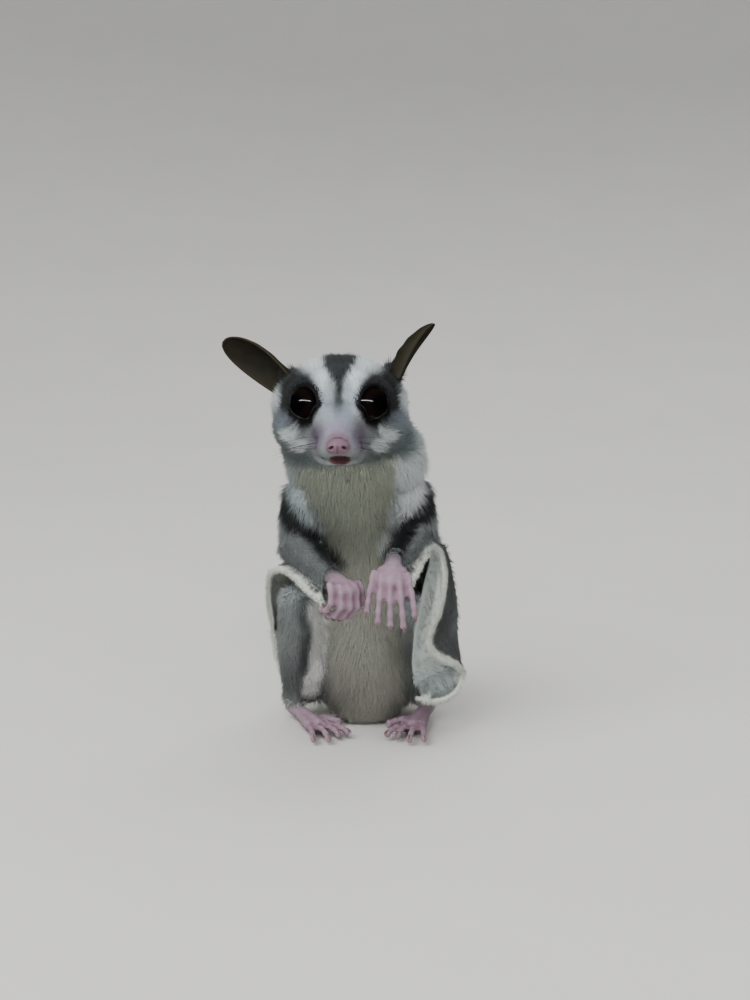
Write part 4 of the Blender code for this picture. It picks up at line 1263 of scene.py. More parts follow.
@dataclass
class Skin:
    """The one skin over all flesh, and what the coat needs to know at each of its points."""

    paws: Paws
    markings: Markings
    swell: float = 0.35
    voxel: float = 0.30
    rounds: int = 6
    triangles: int = 190000
    socket_fill: float = 4.35
    lid_angle: float = 65.0
    fills: tuple[tuple[Point, Point], ...] = (
        ((9.0, -12.5, 72.5), (8.0, 9.0, 10.0)),
        ((-14.6, -12.5, 72.5), (8.0, 9.0, 9.0)),
        ((-6.4, -8.0, 86.0), (12.0, 8.6, 11.0)),
        ((-6.0, -5.4, 78.6), (12.0, 9.0, 11.4)),
        ((-19.0, -10.8, 93.2), (4.2, 3.6, 4.4)),
        ((6.4, -10.8, 94.4), (4.0, 3.6, 4.6)),
    )
    names: list[str] = field(default_factory=list)
    zone: np.ndarray = field(init=False)
    surface: Surface = field(init=False)
    lie: np.ndarray = field(init=False)
    coat_colour: np.ndarray = field(init=False)
    bare_share: np.ndarray = field(init=False)
    open_share: np.ndarray = field(init=False)

    def flesh_nodes(self) -> list[str]:
        """The nodes whose own shape the skin follows."""
        kept = ("torso", "neck", "head", "upper_arm", "forearm", "thigh", "shank", "patagium")
        return [n for n in sorted(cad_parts) if n.startswith(kept)]

    def forms(self) -> bmesh.types.BMesh:
        """Gathers all rough forms under the skin, in millimetres.

        Returns:
            One bmesh with all of them.
        """
        bm = bmesh.new()
        for name in self.flesh_nodes():
            part = bmesh.new()
            part.from_mesh(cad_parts[name].data)
            bmesh.ops.transform(part, matrix=Matrix.Scale(1.0 / MM, 4), verts=part.verts)
            bmesh.ops.remove_doubles(part, verts=part.verts, dist=0.005)
            part.normal_update()
            for vert in part.verts:
                vert.co += vert.normal * self.swell
            scratch = bpy.data.meshes.new("scratch")
            part.to_mesh(scratch)
            part.free()
            bm.from_mesh(scratch)
            bpy.data.meshes.remove(scratch)
        core = Tubes(4, 3)
        core.add(TAIL_LINE, TAIL_FLESH)
        merged = bmesh.new()
        merge_into(merged, core.mesh())
        self.paws.add_flesh(merged)
        for sign in (-1, 1):
            add_ball(merged, eye_place(sign), (self.socket_fill,) * 3)
        add_ball(merged, head_place(0.0, NOSE_TIP[1] - 1.4, NOSE_TIP[2]), (2.3, 1.9, 1.8))
        for centre, radii in self.fills:
            add_ball(merged, centre, radii)
        merge_into(merged, self.pleats().mesh())
        add_ball(merged, (19.0, -16.9, 14.4), (6.6, 1.3, 5.2), Matrix.Rotation(math.radians(16), 4, "Z"))
        scratch = bpy.data.meshes.new("scratch")
        merged.to_mesh(scratch)
        merged.free()
        bm.from_mesh(scratch)
        bpy.data.meshes.remove(scratch)
        return bm

    def pleats(self) -> Tubes:
        """Lays soft pleats inside the left membrane's edge, the loop at its end, and webs to the trunk.

        Returns:
            The tubes.
        """
        folds = Tubes(3, 3)
        for share in (0.0, 0.24, 0.48, 0.72):
            line, radii = [], []
            for inner, outer in zip(LINING_LEFT, EDGE_LEFT[2:10]):
                inner, outer = Vector(inner), Vector(outer)
                bow = Vector((0.0, 0.9 * math.sin(math.pi * share), 0.0))
                line.append(tuple(mix(inner, outer, share) + bow))
                radii.append(0.45 + 0.16 * (outer - inner).length)
            folds.add(tuple(line), tuple(radii))
        folds.add(LOOP_LEFT, (1.05, 1.1, 1.1, 1.05, 0.85))
        for web in (WEB_LEFT, WEB_RIGHT):
            folds.add(web, (2.2, 2.6, 2.6, 2.6, 2.2))
        return folds

    def blended(self) -> bpy.types.Object:
        """Blends the forms into one closed skin of small triangles.

        Returns:
            The skin's bare object.
        """
        obj = object_of("skin", self.forms())
        blend = obj.modifiers.new("Blend", "REMESH")
        blend.mode = "VOXEL"
        blend.voxel_size = self.voxel * MM
        soften = obj.modifiers.new("Soften", "SMOOTH")
        soften.factor = 0.5
        soften.iterations = self.rounds
        obj.modifiers.new("Split", "TRIANGULATE")
        settle(obj)
        thin = obj.modifiers.new("Thin", "DECIMATE")
        thin.ratio = min(1.0, self.triangles / len(obj.data.polygons))
        settle(obj)
        return self.largest(obj)

    def largest(self, obj: bpy.types.Object) -> bpy.types.Object:
        """Keeps only the closed surface with the most points.

        Args:
            obj: The blended skin.

        Returns:
            The same object.
        """
        surface = Surface(obj.data)
        label = np.arange(len(surface.co))
        first, second = surface.edges[:, 0], surface.edges[:, 1]
        while True:
            low = np.minimum(label[first], label[second])
            new = label.copy()
            np.minimum.at(new, first, low)
            np.minimum.at(new, second, low)
            new = new[new]
            if (new == label).all():
                break
            label = new
        main = np.bincount(label).argmax()
        if (label == main).all():
            return obj
        bm = bmesh.new()
        bm.from_mesh(obj.data)
        loose = [vert for vert, own in zip(bm.verts, label) if own != main]
        bmesh.ops.delete(bm, geom=loose, context="VERTS")
        bm.to_mesh(obj.data)
        bm.free()
        return obj

    def find_zones(self, points: np.ndarray) -> np.ndarray:
        """Finds the node nearest to each point.

        Args:
            points: Places in millimetres.

        Returns:
            The number of each point's node in self.names.
        """
        self.names = [zone.node for zone in ZONES]
        corners, faces, owner = [], [], []
        start = 0
        for number, name in enumerate(self.names):
            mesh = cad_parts[name].data
            corners += [v.co / MM for v in mesh.vertices]
            faces += [[start + i for i in p.vertices] for p in mesh.polygons]
            owner += [number] * len(mesh.polygons)
            start += len(mesh.vertices)
        tree = BVHTree.FromPolygons(corners, faces)
        return np.array([owner[tree.find_nearest(Vector(p))[2]] for p in points])

    def zone_values(self, key: str) -> np.ndarray:
        """One of the zones' numbers for each point."""
        return np.array([float(getattr(zone, key)) for zone in ZONES])[self.zone]

    def depth(self, surface: Surface) -> np.ndarray:
        """How far each point goes in from the blended forms.

        Args:
            surface: The skin.

        Returns:
            One depth a point, in millimetres.
        """
        depth = self.zone_values("depth")
        head = head_frame(surface.co)
        from_nose = np.linalg.norm(head - np.array(NOSE_TIP), axis=1)
        on_head = self.zone == self.names.index("head")
        rise = 1.5 * smoothstep(8.0, 26.0, from_nose) + 0.8 * smoothstep(28.0, 40.0, from_nose)
        depth[on_head] = (0.15 + rise)[on_head]
        depth = surface.smooth(depth + self.swell, 22)
        for line in (EDGE_RIGHT, EDGE_LEFT):
            away, _, _ = nearest_on_line(surface.co, smooth_line(line, 4))
            depth += 0.25 * smoothstep(2.6, 1.6, away)
        for sign in (-1, 1):
            away = np.linalg.norm(surface.co - np.array(eye_place(sign)), axis=1)
            depth *= 0.15 + 0.85 * smoothstep(5.4, 10.0, away)
        return depth

    def carve_mouth(self, surface: Surface) -> None:
        """Presses the line of the mouth into the skin.

        Args:
            surface: The skin.
        """
        away, share, _ = nearest_on_line(surface.co, mouth_line())
        middle = 1.0 - np.abs(2.0 * share - 1.0)
        self.open_share = self.gape(surface)
        groove = np.exp(-((away / 0.5) ** 2)) * (0.30 + 0.45 * smoothstep(0.4, 0.8, middle))
        surface.co -= surface.normals * (groove * (1.0 - self.open_share))[:, None]
        surface.co[:, 1] += 1.1 * self.open_share

    def gape(self, surface: Surface) -> np.ndarray:
        """How far inside the open middle of the mouth each point lies, from 0 to 1."""
        away = (head_frame(surface.co) - np.array((0.5, 20.0, -13.0))) / np.array((3.0, 4.0, 1.25))
        return smoothstep(1.2, 0.5, np.linalg.norm(away, axis=1))

    def from_eye(self, surface: Surface, sign: int) -> tuple[np.ndarray, np.ndarray, np.ndarray]:
        """Measures each point from one eye.

        Args:
            surface: The skin.
            sign: Which eye.

        Returns:
            The way from the eye's middle, its length, and its angle from the eye's aim in degrees.
        """
        away = surface.co - np.array(eye_place(sign))
        reach = np.linalg.norm(away, axis=1)
        aim = unit(np.array((sign * EYE_AIM[0], EYE_AIM[1], EYE_AIM[2])))
        return away, reach, np.degrees(np.arccos(np.clip(away @ aim / reach, -1.0, 1.0)))

    def open_lids(self, surface: Surface) -> None:
        """Draws the lids back, so that their rims lie on the eyeballs.

        Args:
            surface: The skin.
        """
        for sign in (-1, 1):
            away, reach, angle = self.from_eye(surface, sign)
            rim = EYE_RADIUS - 0.5 + smoothstep(self.lid_angle - 3.0, self.lid_angle + 3.0, angle)
            near = smoothstep(EYE_RADIUS + 3.2, EYE_RADIUS + 1.9, reach)
            share = near * smoothstep(self.lid_angle + 22.0, self.lid_angle + 8.0, angle)
            surface.co += away * ((rim - reach) * share / reach)[:, None]

    def hair_lie(self, surface: Surface) -> np.ndarray:
        """Works out which way the hair points at each place.

        Args:
            surface: The skin.

        Returns:
            One unit row a point, flat on the skin.
        """
        points = surface.co
        lie = np.zeros_like(points)
        for number, zone in enumerate(ZONES):
            own = self.zone == number
            if not own.any():
                continue
            if zone.lie is Lie.FROM_NOSE:
                nose = np.array(head_place(*NOSE_TIP))
                way = unit(points[own] - nose)
                nape = smoothstep(-1.0, -13.0, head_frame(points[own])[:, 1])
                way += nape[:, None] * np.array((0.0, 0.3, -1.5))
                for sign in (-1, 1):
                    away = points[own] - np.array(eye_place(sign))
                    reach = np.linalg.norm(away, axis=1)
                    way += unit(away) * (1.6 * smoothstep(9.5, 5.0, reach))[:, None]
                lie[own] = way
            elif zone.lie is Lie.DOWN:
                rump = smoothstep(42.0, 12.0, points[own, 2]) * smoothstep(-4.0, 8.0, points[own, 1])
                lie[own] = np.stack((0.0 * rump, 0.15 + 1.3 * rump, -1.0 + 0.5 * rump), axis=1)
            elif zone.lie is Lie.BACK:
                lie[own] = (0.0, 0.5, -1.0)
            elif zone.lie is Lie.TO_EDGE:
                spots = np.array([tuple(p) for p in smooth_line(zone.edge, 3)])
                gap = points[own][:, None, :] - spots[None, :, :]
                near = spots[np.argmin(np.sum(gap**2, axis=2), axis=1)]
                lie[own] = unit(near - points[own]) * 0.8 + np.array((0.0, 0.1, -0.6))
            else:
                joint = 0 if zone.node.startswith(("upper", "thigh")) else 1
                if zone.node.startswith("tail"):
                    lie[own] = nearest_on_line(points[own], zone.axis)[2]
                elif zone.node.startswith("foot"):
                    lie[own] = (0.0, -1.0, -0.2)
                else:
                    lie[own] = np.array(zone.axis[joint + 1]) - np.array(zone.axis[joint])
        return surface.level(surface.smooth(surface.level(lie), 14))

    def bare(self, surface: Surface) -> np.ndarray:
        """How bare the skin is at each point, from 0 in the coat to 1 on the paws.

        Args:
            surface: The skin.

        Returns:
            One share a point.
        """
        paws = np.zeros(len(surface.co))
        for side, arm, leg in (("right", ARM_RIGHT, LEG_RIGHT), ("left", ARM_LEFT, LEG_LEFT)):
            hand = self.zone == self.names.index("hand_" + side)
            past = (surface.co - np.array(arm[2])) @ np.array((0.0, -1.0, -0.25))
            paws[hand] = smoothstep(1.0, 5.5, past)[hand]
            foot = self.zone == self.names.index("foot_" + side)
            beyond = (surface.co - np.array(leg[2])) @ np.array((0.0, -1.0, -0.8))
            paws[foot] = smoothstep(2.0, 6.5, beyond)[foot]
        head = head_frame(surface.co)
        snout = np.linalg.norm((head - np.array((0.0, 23.0, -9.2))) / np.array((1.0, 1.2, 1.0)), axis=1)
        paws = np.maximum(surface.smooth(paws, 3), smoothstep(4.4, 2.6, snout))
        paws = np.maximum(paws, smoothstep(0.05, 0.4, self.open_share))
        for sign in (-1, 1):
            _, reach, angle = self.from_eye(surface, sign)
            rim = smoothstep(self.lid_angle + 9.0, self.lid_angle + 6.0, angle)
            paws = np.maximum(paws, rim * smoothstep(7.0, 6.0, reach))
        return paws

    def skin_colours(self, surface: Surface) -> np.ndarray:
        """The coat's colour, and that of bare paws, lids and mouth, with painted shade in the paws' hollows
        and the mouth's open middle.

        Args:
            surface: The skin.

        Returns:
            One linear colour a point.
        """
        coat = self.coat_colour
        bare = self.bare_share
        # Painted shade and light on bare paws: the pink goes darker and redder in hollows and a little paler
        # on bumps.
        hollow = np.sum((surface.around(surface.co) - surface.co) * surface.normals, axis=1)
        hollow = surface.smooth(hollow, 3)
        pink = np.tile(linear(*self.markings.pink), (len(coat), 1))
        shade = np.clip(1.0 - 4.5 * np.clip(hollow, -0.04, 0.12), 0.45, 1.2)
        pink *= shade[:, None] ** np.array((1.0, 1.5, 1.3))
        on_paw = np.zeros(len(coat))
        for side in ("right", "left"):
            for paw in ("hand_", "foot_"):
                on_paw[self.zone == self.names.index(paw + side)] = 1.0
        on_paw = surface.smooth(on_paw, 3)
        skin = mix(coat * 0.75, pink, (bare * on_paw)[:, None])
        mouth, _, _ = nearest_on_line(surface.co, mouth_line())
        skin = mix(skin, linear(96, 84, 90), (smoothstep(0.7, 0.3, mouth) * 0.8)[:, None])
        gape = self.open_share
        skin = mix(skin, linear(*self.markings.mouth), smoothstep(0.02, 0.35, gape)[:, None])
        # Painted shade: darker still in the open middle of the mouth.
        skin = mix(skin, linear(58, 28, 31), (smoothstep(0.6, 1.0, gape) * 0.7)[:, None])
        for sign in (-1, 1):
            away = np.linalg.norm(surface.co - np.array(eye_place(sign)), axis=1)
            skin = mix(skin, linear(20, 20, 21), smoothstep(6.4, 5.6, away)[:, None])
        return skin

    def build(self) -> bpy.types.Object:
        """Makes the skin, and keeps the fields that the coat reads.

        Returns:
            The skin's object, dressed and riding.
        """
        obj = self.blended()
        surface = Surface(obj.data)
        self.zone = self.find_zones(surface.co)
        for line, reach in ((LOOP_LEFT, 2.3), (LINING_LEFT, 1.7)):
            away, _, _ = nearest_on_line(surface.co, smooth_line(line, 3))
            self.zone[away < reach] = self.names.index("patagium_left")
        for node, line in self.paws.digits:
            away, _, _ = nearest_on_line(surface.co, line)
            self.zone[away < 1.7] = self.names.index(node)
        surface.co -= surface.normals * self.depth(surface)[:, None]
        surface.normals = surface.point_normals()
        self.carve_mouth(surface)
        self.open_lids(surface)
        surface.co[:, 2] = np.maximum(surface.co[:, 2], 0.02)
        surface.normals = surface.point_normals()
        obj.data.vertices.foreach_set("co", (surface.co * MM).astype(np.float32).ravel())
        obj.data.update()
        self.surface = surface
        self.lie = self.hair_lie(surface)
        self.coat_colour = self.markings.colours(surface, self.zone, self.names)
        self.bare_share = self.bare(surface)
        set_points(obj.data, "Markings", self.skin_colours(surface))
        set_points(obj.data, "Bare", self.bare_share)
        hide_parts(*[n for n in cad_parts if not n.startswith(("eye", "ear", "nose"))])
        return dress(obj, SkinFinish().material())


# Coat


@dataclass
class Coat:
    """Tufts of fur over the skin, joined in a few pieces."""

    skin: Skin
    seed: int = 11
    sink: float = 0.25
    clump_share: int = 10
    clump_pull: float = 0.22
    margin: float = 0.02
    patch: float = 0.003
    length: np.ndarray = field(init=False)
    width: np.ndarray = field(init=False)
    lift: np.ndarray = field(init=False)
    density: np.ndarray = field(init=False)
    material: bpy.types.Material = field(init=False)

    def growth(self) -> None:
        """Works out length, width, lift and density at each point of the skin."""
        skin, surface = self.skin, self.skin.surface
        points = surface.co
        length = surface.smooth(skin.zone_values("length"), 10)
        width = surface.smooth(skin.zone_values("width"), 10)
        lift = surface.smooth(skin.zone_values("lift"), 10)
        density = surface.smooth(skin.zone_values("density"), 2)
        head = head_frame(points)
        from_nose = np.linalg.norm(head - np.array(NOSE_TIP), axis=1)
        on_head = surface.smooth((skin.zone == skin.names.index("head")).astype(float), 6)
        face_length = 0.7 + 2.9 * smoothstep(5.0, 27.0, from_nose)
        length = mix(length, face_length, on_head)
        width = mix(width, 0.13 + 0.15 * smoothstep(5.0, 27.0, from_nose), on_head)
        density = density * mix(1.0, 1.0 + 1.6 * smoothstep(20.0, 8.0, from_nose), on_head)
        lift = mix(lift, 13.0 + 9.0 * smoothstep(8.0, 26.0, from_nose), on_head)
        for sign in (-1, 1):
            away = np.linalg.norm(points - np.array(eye_place(sign)), axis=1)
            length *= 0.42 + 0.58 * smoothstep(5.8, 10.0, away)
            density *= 1.0 + 0.6 * smoothstep(9.0, 6.0, away)
        for side, line in (("right", EDGE_RIGHT), ("left", EDGE_LEFT), ("left", LOOP_LEFT)):
            away, _, _ = nearest_on_line(points, smooth_line(line, 4))
            fringe = (skin.zone == skin.names.index("patagium_" + side)) * smoothstep(2.4, 1.4, away)
            length = mix(length, 1.3, fringe)
            lift += fringe * 8.0
            density *= 1.0 + fringe * 1.8
        tail = surface.smooth(np.char.startswith(np.array(skin.names), "tail")[skin.zone].astype(float), 4)
        _, along, _ = nearest_on_line(points, TAIL_LINE)
        length *= mix(1.0, 0.4 + 0.6 * smoothstep(0.02, 0.17, along), tail)
        bare = skin.bare_share
        density *= np.clip(1.0 - bare * 1.05, 0.0, 1.0)
        length *= 1.0 - 0.6 * bare
        length *= 0.3 + 0.7 * smoothstep(-0.5, 4.5, points[:, 2])
        density[points[:, 2] < 0.25] = 0.0
        self.length, self.width, self.lift, self.density = length, width, lift, density

    def covers(self, piece: CoatPiece) -> np.ndarray:
        """Tells which triangles of the skin a coat piece covers.

        Args:
            piece: The coat piece.

        Returns:
            True or false a triangle.
        """
        skin = self.skin
        corner = skin.surface.tris[:, 0]
        own = np.isin(skin.zone[corner], [skin.names.index(n) for n in piece.nodes])
        if piece.half is Half.WHOLE:
            return own
        middle = skin.surface.co[corner]
        if "head" in piece.nodes:
            front = head_frame(middle)[:, 1] > 3.0
            if piece.half is Half.BACK:
                neck = skin.zone[corner] == skin.names.index("neck")
                behind = middle[:, 1] > self.spine_y(middle[:, 2])
                return own & np.where(neck, behind, ~front)
            return own & front
        front = middle[:, 1] < self.spine_y(middle[:, 2])
        return own & (front if piece.half is Half.FRONT else ~front)

    def spine_y(self, height: np.ndarray) -> np.ndarray:
        """How far back the spine's line lies at a height."""
        spots = np.array(SPINE_LINE)
        return np.interp(height, spots[:, 2], spots[:, 1])

    def unwrap(self, points: np.ndarray, zone: np.ndarray, nodes: tuple[str, ...]) -> np.ndarray:
        """Spreads roots on a flat map: round each node's own line and along it, one cell a node.

        Args:
            points: The roots.
            zone: Their nodes' numbers.
            nodes: The nodes of the piece.

        Returns:
            One map place a root, from 0 to 1.
        """
        flat = np.zeros((len(points), 2))
        cell = 1.0 / len(nodes)
        for k, node in enumerate(nodes):
            number = self.skin.names.index(node)
            own = zone == number
            if not own.any():
                continue
            spots = np.array([tuple(p) for p in ZONES[number].axis])
            here = points[own]
            axis = unit(spots[-1] - spots[0])
            _, share, _ = nearest_on_line(here, ZONES[number].axis)
            along = here @ axis
            along = (along - along.min()) / max(np.ptp(along), 1e-6)
            if node.startswith("tail") or node == "head":
                share = along
            else:
                share = 0.5 * (share - share.min()) / max(np.ptp(share), 1e-6) + 0.5 * along
            first = unit(np.cross(axis, np.array((0.3, 0.2, 1.0))))
            second = np.cross(axis, first)
            centre = here - spots.mean(axis=0)
            turn = np.arctan2(centre @ second, centre @ first) / math.tau + 0.5
            flat[own] = np.stack(((k + 0.03 + 0.94 * turn) * cell, 0.01 + 0.98 * share), axis=1)
        return flat

    def tufts(self, piece: CoatPiece, draw: np.random.Generator) -> bpy.types.Object:
        """Grows one piece of the coat.

        Args:
            piece: What it covers.
            draw: The source of its random numbers.

        Returns:
            The piece's object.
        """
        skin, surface = self.skin, self.skin.surface
        tris = surface.tris[self.covers(piece)]
        weight = surface.areas()[self.covers(piece)] * self.density[tris].mean(axis=1)
        total = np.cumsum(weight)
        count = piece.tufts
        chosen = tris[np.searchsorted(total, draw.random(count) * total[-1])]
        a = np.sqrt(draw.random(count))
        b = draw.random(count)
        share = np.stack((1.0 - a, a * (1.0 - b), a * b), axis=1)

        def pick(values: np.ndarray) -> np.ndarray:
            """Reads the skin's values at the roots."""
            found = values[chosen]
            if found.ndim == 3:
                return np.sum(found * share[:, :, None], axis=1)
            return np.sum(found * share, axis=1)

        root = pick(surface.co)
        normal = unit(pick(surface.normals))
        heading = pick(skin.lie)
        sway = np.sin(root @ np.array((0.55, 0.4, 0.7))) * np.sin(root @ np.array((-0.4, 0.75, 0.3)) + 1.0)
        side = unit(np.cross(normal, heading))
        turn = 0.22 * sway + draw.normal(0.0, 0.16, count)
        heading = unit(heading - normal * np.sum(heading * normal, axis=1, keepdims=True))
        heading = heading * np.cos(turn)[:, None] + side * np.sin(turn)[:, None]
        side = unit(np.cross(normal, heading))
        length = pick(self.length) * draw.uniform(0.72, 1.22, count)
        width = pick(self.width) * draw.uniform(0.75, 1.2, count)
        lift = np.radians(pick(self.lift) * draw.uniform(0.55, 1.45, count))
        stations = [root - normal * self.sink]
        ends = piece.rings
        spot = root
        for k in range(ends):
            angle = lift * (1.15 - 0.75 * k / max(ends - 1, 1))
            step = heading * np.cos(angle)[:, None] + normal * np.sin(angle)[:, None]
            bow = side * (draw.normal(0.0, 0.06, count) * (k + 1))[:, None]
            spot = spot + (step + bow) * (length / ends)[:, None]
            stations.append(spot)
        self.clump(stations, draw)
        self.keep_inside(stations)
        for spot in stations:
            spot[:, 2] = np.maximum(spot[:, 2], 0.06)
        profile = (0.9, 1.0, 0.8)[:ends]
        rings = []
        for station, size in zip(stations, profile):
            half = (0.5 * width * size)[:, None]
            rings += [station + side * half, station + normal * half * 0.7, station - side * half]
        rings.append(stations[-1])
        corners = np.stack(rings, axis=1)
        corners[:, :, 2] = np.maximum(corners[:, :, 2], 0.04)
        tone = self.tones(pick(skin.coat_colour), ends, draw)
        flat = self.unwrap(root, skin.zone[chosen[:, 0]], piece.nodes)
        obj = self.joined(piece.name, corners, tone, flat, ends)
        return dress(obj, self.material)

    def keep_inside(self, stations: list[np.ndarray]) -> None:
        """Shortens the tufts that would reach past the solids' box and its margin, in place.

        Args:
            stations: Each tuft's stations, root first.
        """
        low, high = (np.array(corner) / MM for corner in CAD_BOX)
        margin = (high - low) * self.margin
        root = stations[0].copy()
        share = np.ones(len(root))
        for spot in stations[1:]:
            way = spot - root
            room = np.where(way > 0.0, high + margin - root, low - margin - root)
            share = np.minimum(share, np.min(room / np.where(np.abs(way) < 1e-6, 1e-6, way), axis=1))
        share = np.clip(share, 0.05, 1.0)[:, None]
        for k in range(1, len(stations)):
            stations[k] = root + (stations[k] - root) * share

    def clump(self, stations: list[np.ndarray], draw: np.random.Generator) -> None:
        """Draws the tips of neighbouring tufts together, in place.

        Args:
            stations: Each tuft's stations, root first.
            draw: The source of random numbers.
        """
        roots, tips = stations[0], stations[-1]
        leaders = draw.permutation(len(roots))[:: self.clump_share]
        tree = KDTree(len(leaders))
        for k, leader in enumerate(leaders):
            tree.insert(roots[leader], k)
        tree.balance()
        led = np.array([leaders[tree.find(p)[1]] for p in roots])
        pull = tips[led] - tips
        stations[-1] += pull * self.clump_pull
        if len(stations) > 2:
            stations[-2] += pull * self.clump_pull * 0.45

    def tones(self, colour: np.ndarray, ends: int, draw: np.random.Generator) -> np.ndarray:
        """Colours each tuft's corners, dark at the root and paler at the tip, partly as the hair's own
        banding and partly as painted shade deep in the coat.

        Args:
            colour: The coat's colour at the roots.
            ends: How many rings a tuft has.
            draw: The source of random numbers.

        Returns:
            One colour a corner.
        """
        vary = draw.normal(1.0, 0.10, len(colour))[:, None]
        own = np.clip(colour * vary, 0.0, 1.0)
        shades = []
        for k in range(ends):
            # Darker roots: partly the hair's own banding, partly painted shade deep in the coat.
            shades += [own * mix(0.66, 1.0, k / max(ends - 1, 1))] * 3
        shades.append(own * 1.2)
        return np.stack(shades, axis=1)

    def joined(
        self, name: str, corners: np.ndarray, tone: np.ndarray, flat: np.ndarray, ends: int
    ) -> bpy.types.Object:
        """Joins tufts into one mesh with their colours and their bake map.

        Args:
            name: The piece's name.
            corners: Each tuft's corners, root ring first and tip last.
            tone: A colour a corner.
            flat: Each root's place on the unwrapped skin.
            ends: How many rings a tuft has.

        Returns:
            The object.
        """
        count, per, _ = corners.shape
        faces = [(2, 1, 0)]
        for k in range(ends - 1):
            low, high = 3 * k, 3 * k + 3
            for i in range(3):
                j = (i + 1) % 3
                faces += [(low + i, low + j, high + j), (low + i, high + j, high + i)]
        last = 3 * (ends - 1)
        faces += [(last + i, last + (i + 1) % 3, per - 1) for i in range(3)]
        pattern = np.array(faces)
        index = (np.arange(count)[:, None, None] * per + pattern[None]).reshape(-1, 3)
        mesh = bpy.data.meshes.new(name)
        mesh.vertices.add(count * per)
        mesh.vertices.foreach_set("co", (corners * MM).astype(np.float32).ravel())
        mesh.loops.add(index.size)
        mesh.loops.foreach_set("vertex_index", index.ravel().astype(np.int32))
        mesh.polygons.add(len(index))
        mesh.polygons.foreach_set("loop_start", (np.arange(len(index)) * 3).astype(np.int32))
        mesh.update(calc_edges=True)
        set_points(mesh, "Markings", tone.reshape(-1, 3))
        half = 0.5 * self.patch
        spots = []
        for k in range(ends):
            level = -half + self.patch * k / ends
            spots += [(half, level), (0.0, level + 0.25 * self.patch / ends), (-half, level)]
        spots.append((0.0, half))
        places = (flat[:, None, :] + np.array(spots)[None]).reshape(-1, 2)
        bake = mesh.uv_layers.new(name="OFBake")
        bake.data.foreach_set("uv", np.clip(places, 0.0, 1.0)[index.ravel()].astype(np.float32).ravel())
        return add_object(name, mesh)

    def build(self) -> list[bpy.types.Object]:
        """Grows every piece of the coat.

        Returns:
            Their objects.
        """
        self.material = CoatFinish().material()
        self.growth()
        draw = np.random.default_rng(self.seed)
        return [self.tufts(piece, draw) for piece in COAT_PIECES]


# Head pieces


@dataclass
class Eyes:
    """Two round wet eyes."""

    sides: int = 48

    def build(self) -> list[bpy.types.Object]:
        """Makes both eyes in the place of their nodes.

        Returns:
            Their objects.
        """
        material = EyeFinish().material()
        eyes = []
        for name, sign in (("right", -1), ("left", 1)):
            aim = Vector((sign * EYE_AIM[0], EYE_AIM[1], EYE_AIM[2])).normalized()
            turn = aim.to_track_quat("Z", "Y").to_matrix().to_4x4()
            bm = bmesh.new()
            add_ball(bm, eye_place(sign), (EYE_RADIUS, EYE_RADIUS, EYE_RADIUS * 1.01), turn, self.sides)
            obj = object_of("eyeball_" + name, bm)
            surface = Surface(obj.data)
            facing = unit(surface.co - np.array(eye_place(sign))) @ np.array(aim)
            set_points(obj.data, "Ring", smoothstep(0.45, 0.7, facing) * smoothstep(0.95, 0.8, facing))
            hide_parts("eye_" + name)
            eyes.append(dress(obj, material))
        return eyes


@dataclass
class Nose:
    """The bare nose pad with nostrils and the groove between them."""

    voxel: float = 0.13

    def build(self) -> bpy.types.Object:
        """Makes the pad in the place of its node.

        Returns:
            Its object.
        """
        side, forward, up = NOSE_TIP
        bm = bmesh.new()
        add_ball(bm, head_place(side, forward, up), (2.6, 1.9, 1.9))
        for sign in (-1, 1):
            add_ball(bm, head_place(sign * 1.3, forward - 0.2, up - 0.2), (1.6, 1.8, 1.6))
        obj = object_of("nose_pad", bm)
        blend = obj.modifiers.new("Blend", "REMESH")
        blend.mode = "VOXEL"
        blend.voxel_size = self.voxel * MM
        soften = obj.modifiers.new("Soften", "SMOOTH")
        soften.iterations = 4
        obj.modifiers.new("Split", "TRIANGULATE")
        settle(obj)
        surface = Surface(obj.data)
        head = head_frame(surface.co)
        hollow = np.zeros(len(head))
        for sign in (-1, 1):
            away = head - np.array((sign * 1.7, forward + 1.3, up - 0.35))
            tilt = math.radians(35) * sign
            across = away[:, 0] * math.cos(tilt) - away[:, 2] * math.sin(tilt)
            over = away[:, 0] * math.sin(tilt) + away[:, 2] * math.cos(tilt)
            reach = np.sqrt((across / 0.75) ** 2 + (over / 0.42) ** 2 + (away[:, 1] / 1.6) ** 2)
            hollow = np.maximum(hollow, smoothstep(1.25, 0.7, reach))
        groove = np.exp(-((head[:, 0] / 0.22) ** 2)) * smoothstep(up + 0.8, up - 0.6, head[:, 2])
        surface.co -= surface.normals * (hollow * 0.75 + groove * 0.28)[:, None]
        obj.data.vertices.foreach_set("co", (surface.co * MM).astype(np.float32).ravel())
        obj.data.update()
        # The Hollow share also paints shade into the nostrils and the groove, through the nose's colour.
        set_points(obj.data, "Hollow", np.clip(hollow + groove * 0.3, 0.0, 1.0))
        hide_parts("nose")
        return dress(obj, NoseFinish().material())


@dataclass(frozen=True)
class EarPlace:
    """Where an ear stands: its root, its tip, and the way its cup opens."""

    name: str
    root: Point
    tip: Point
    opening: Point


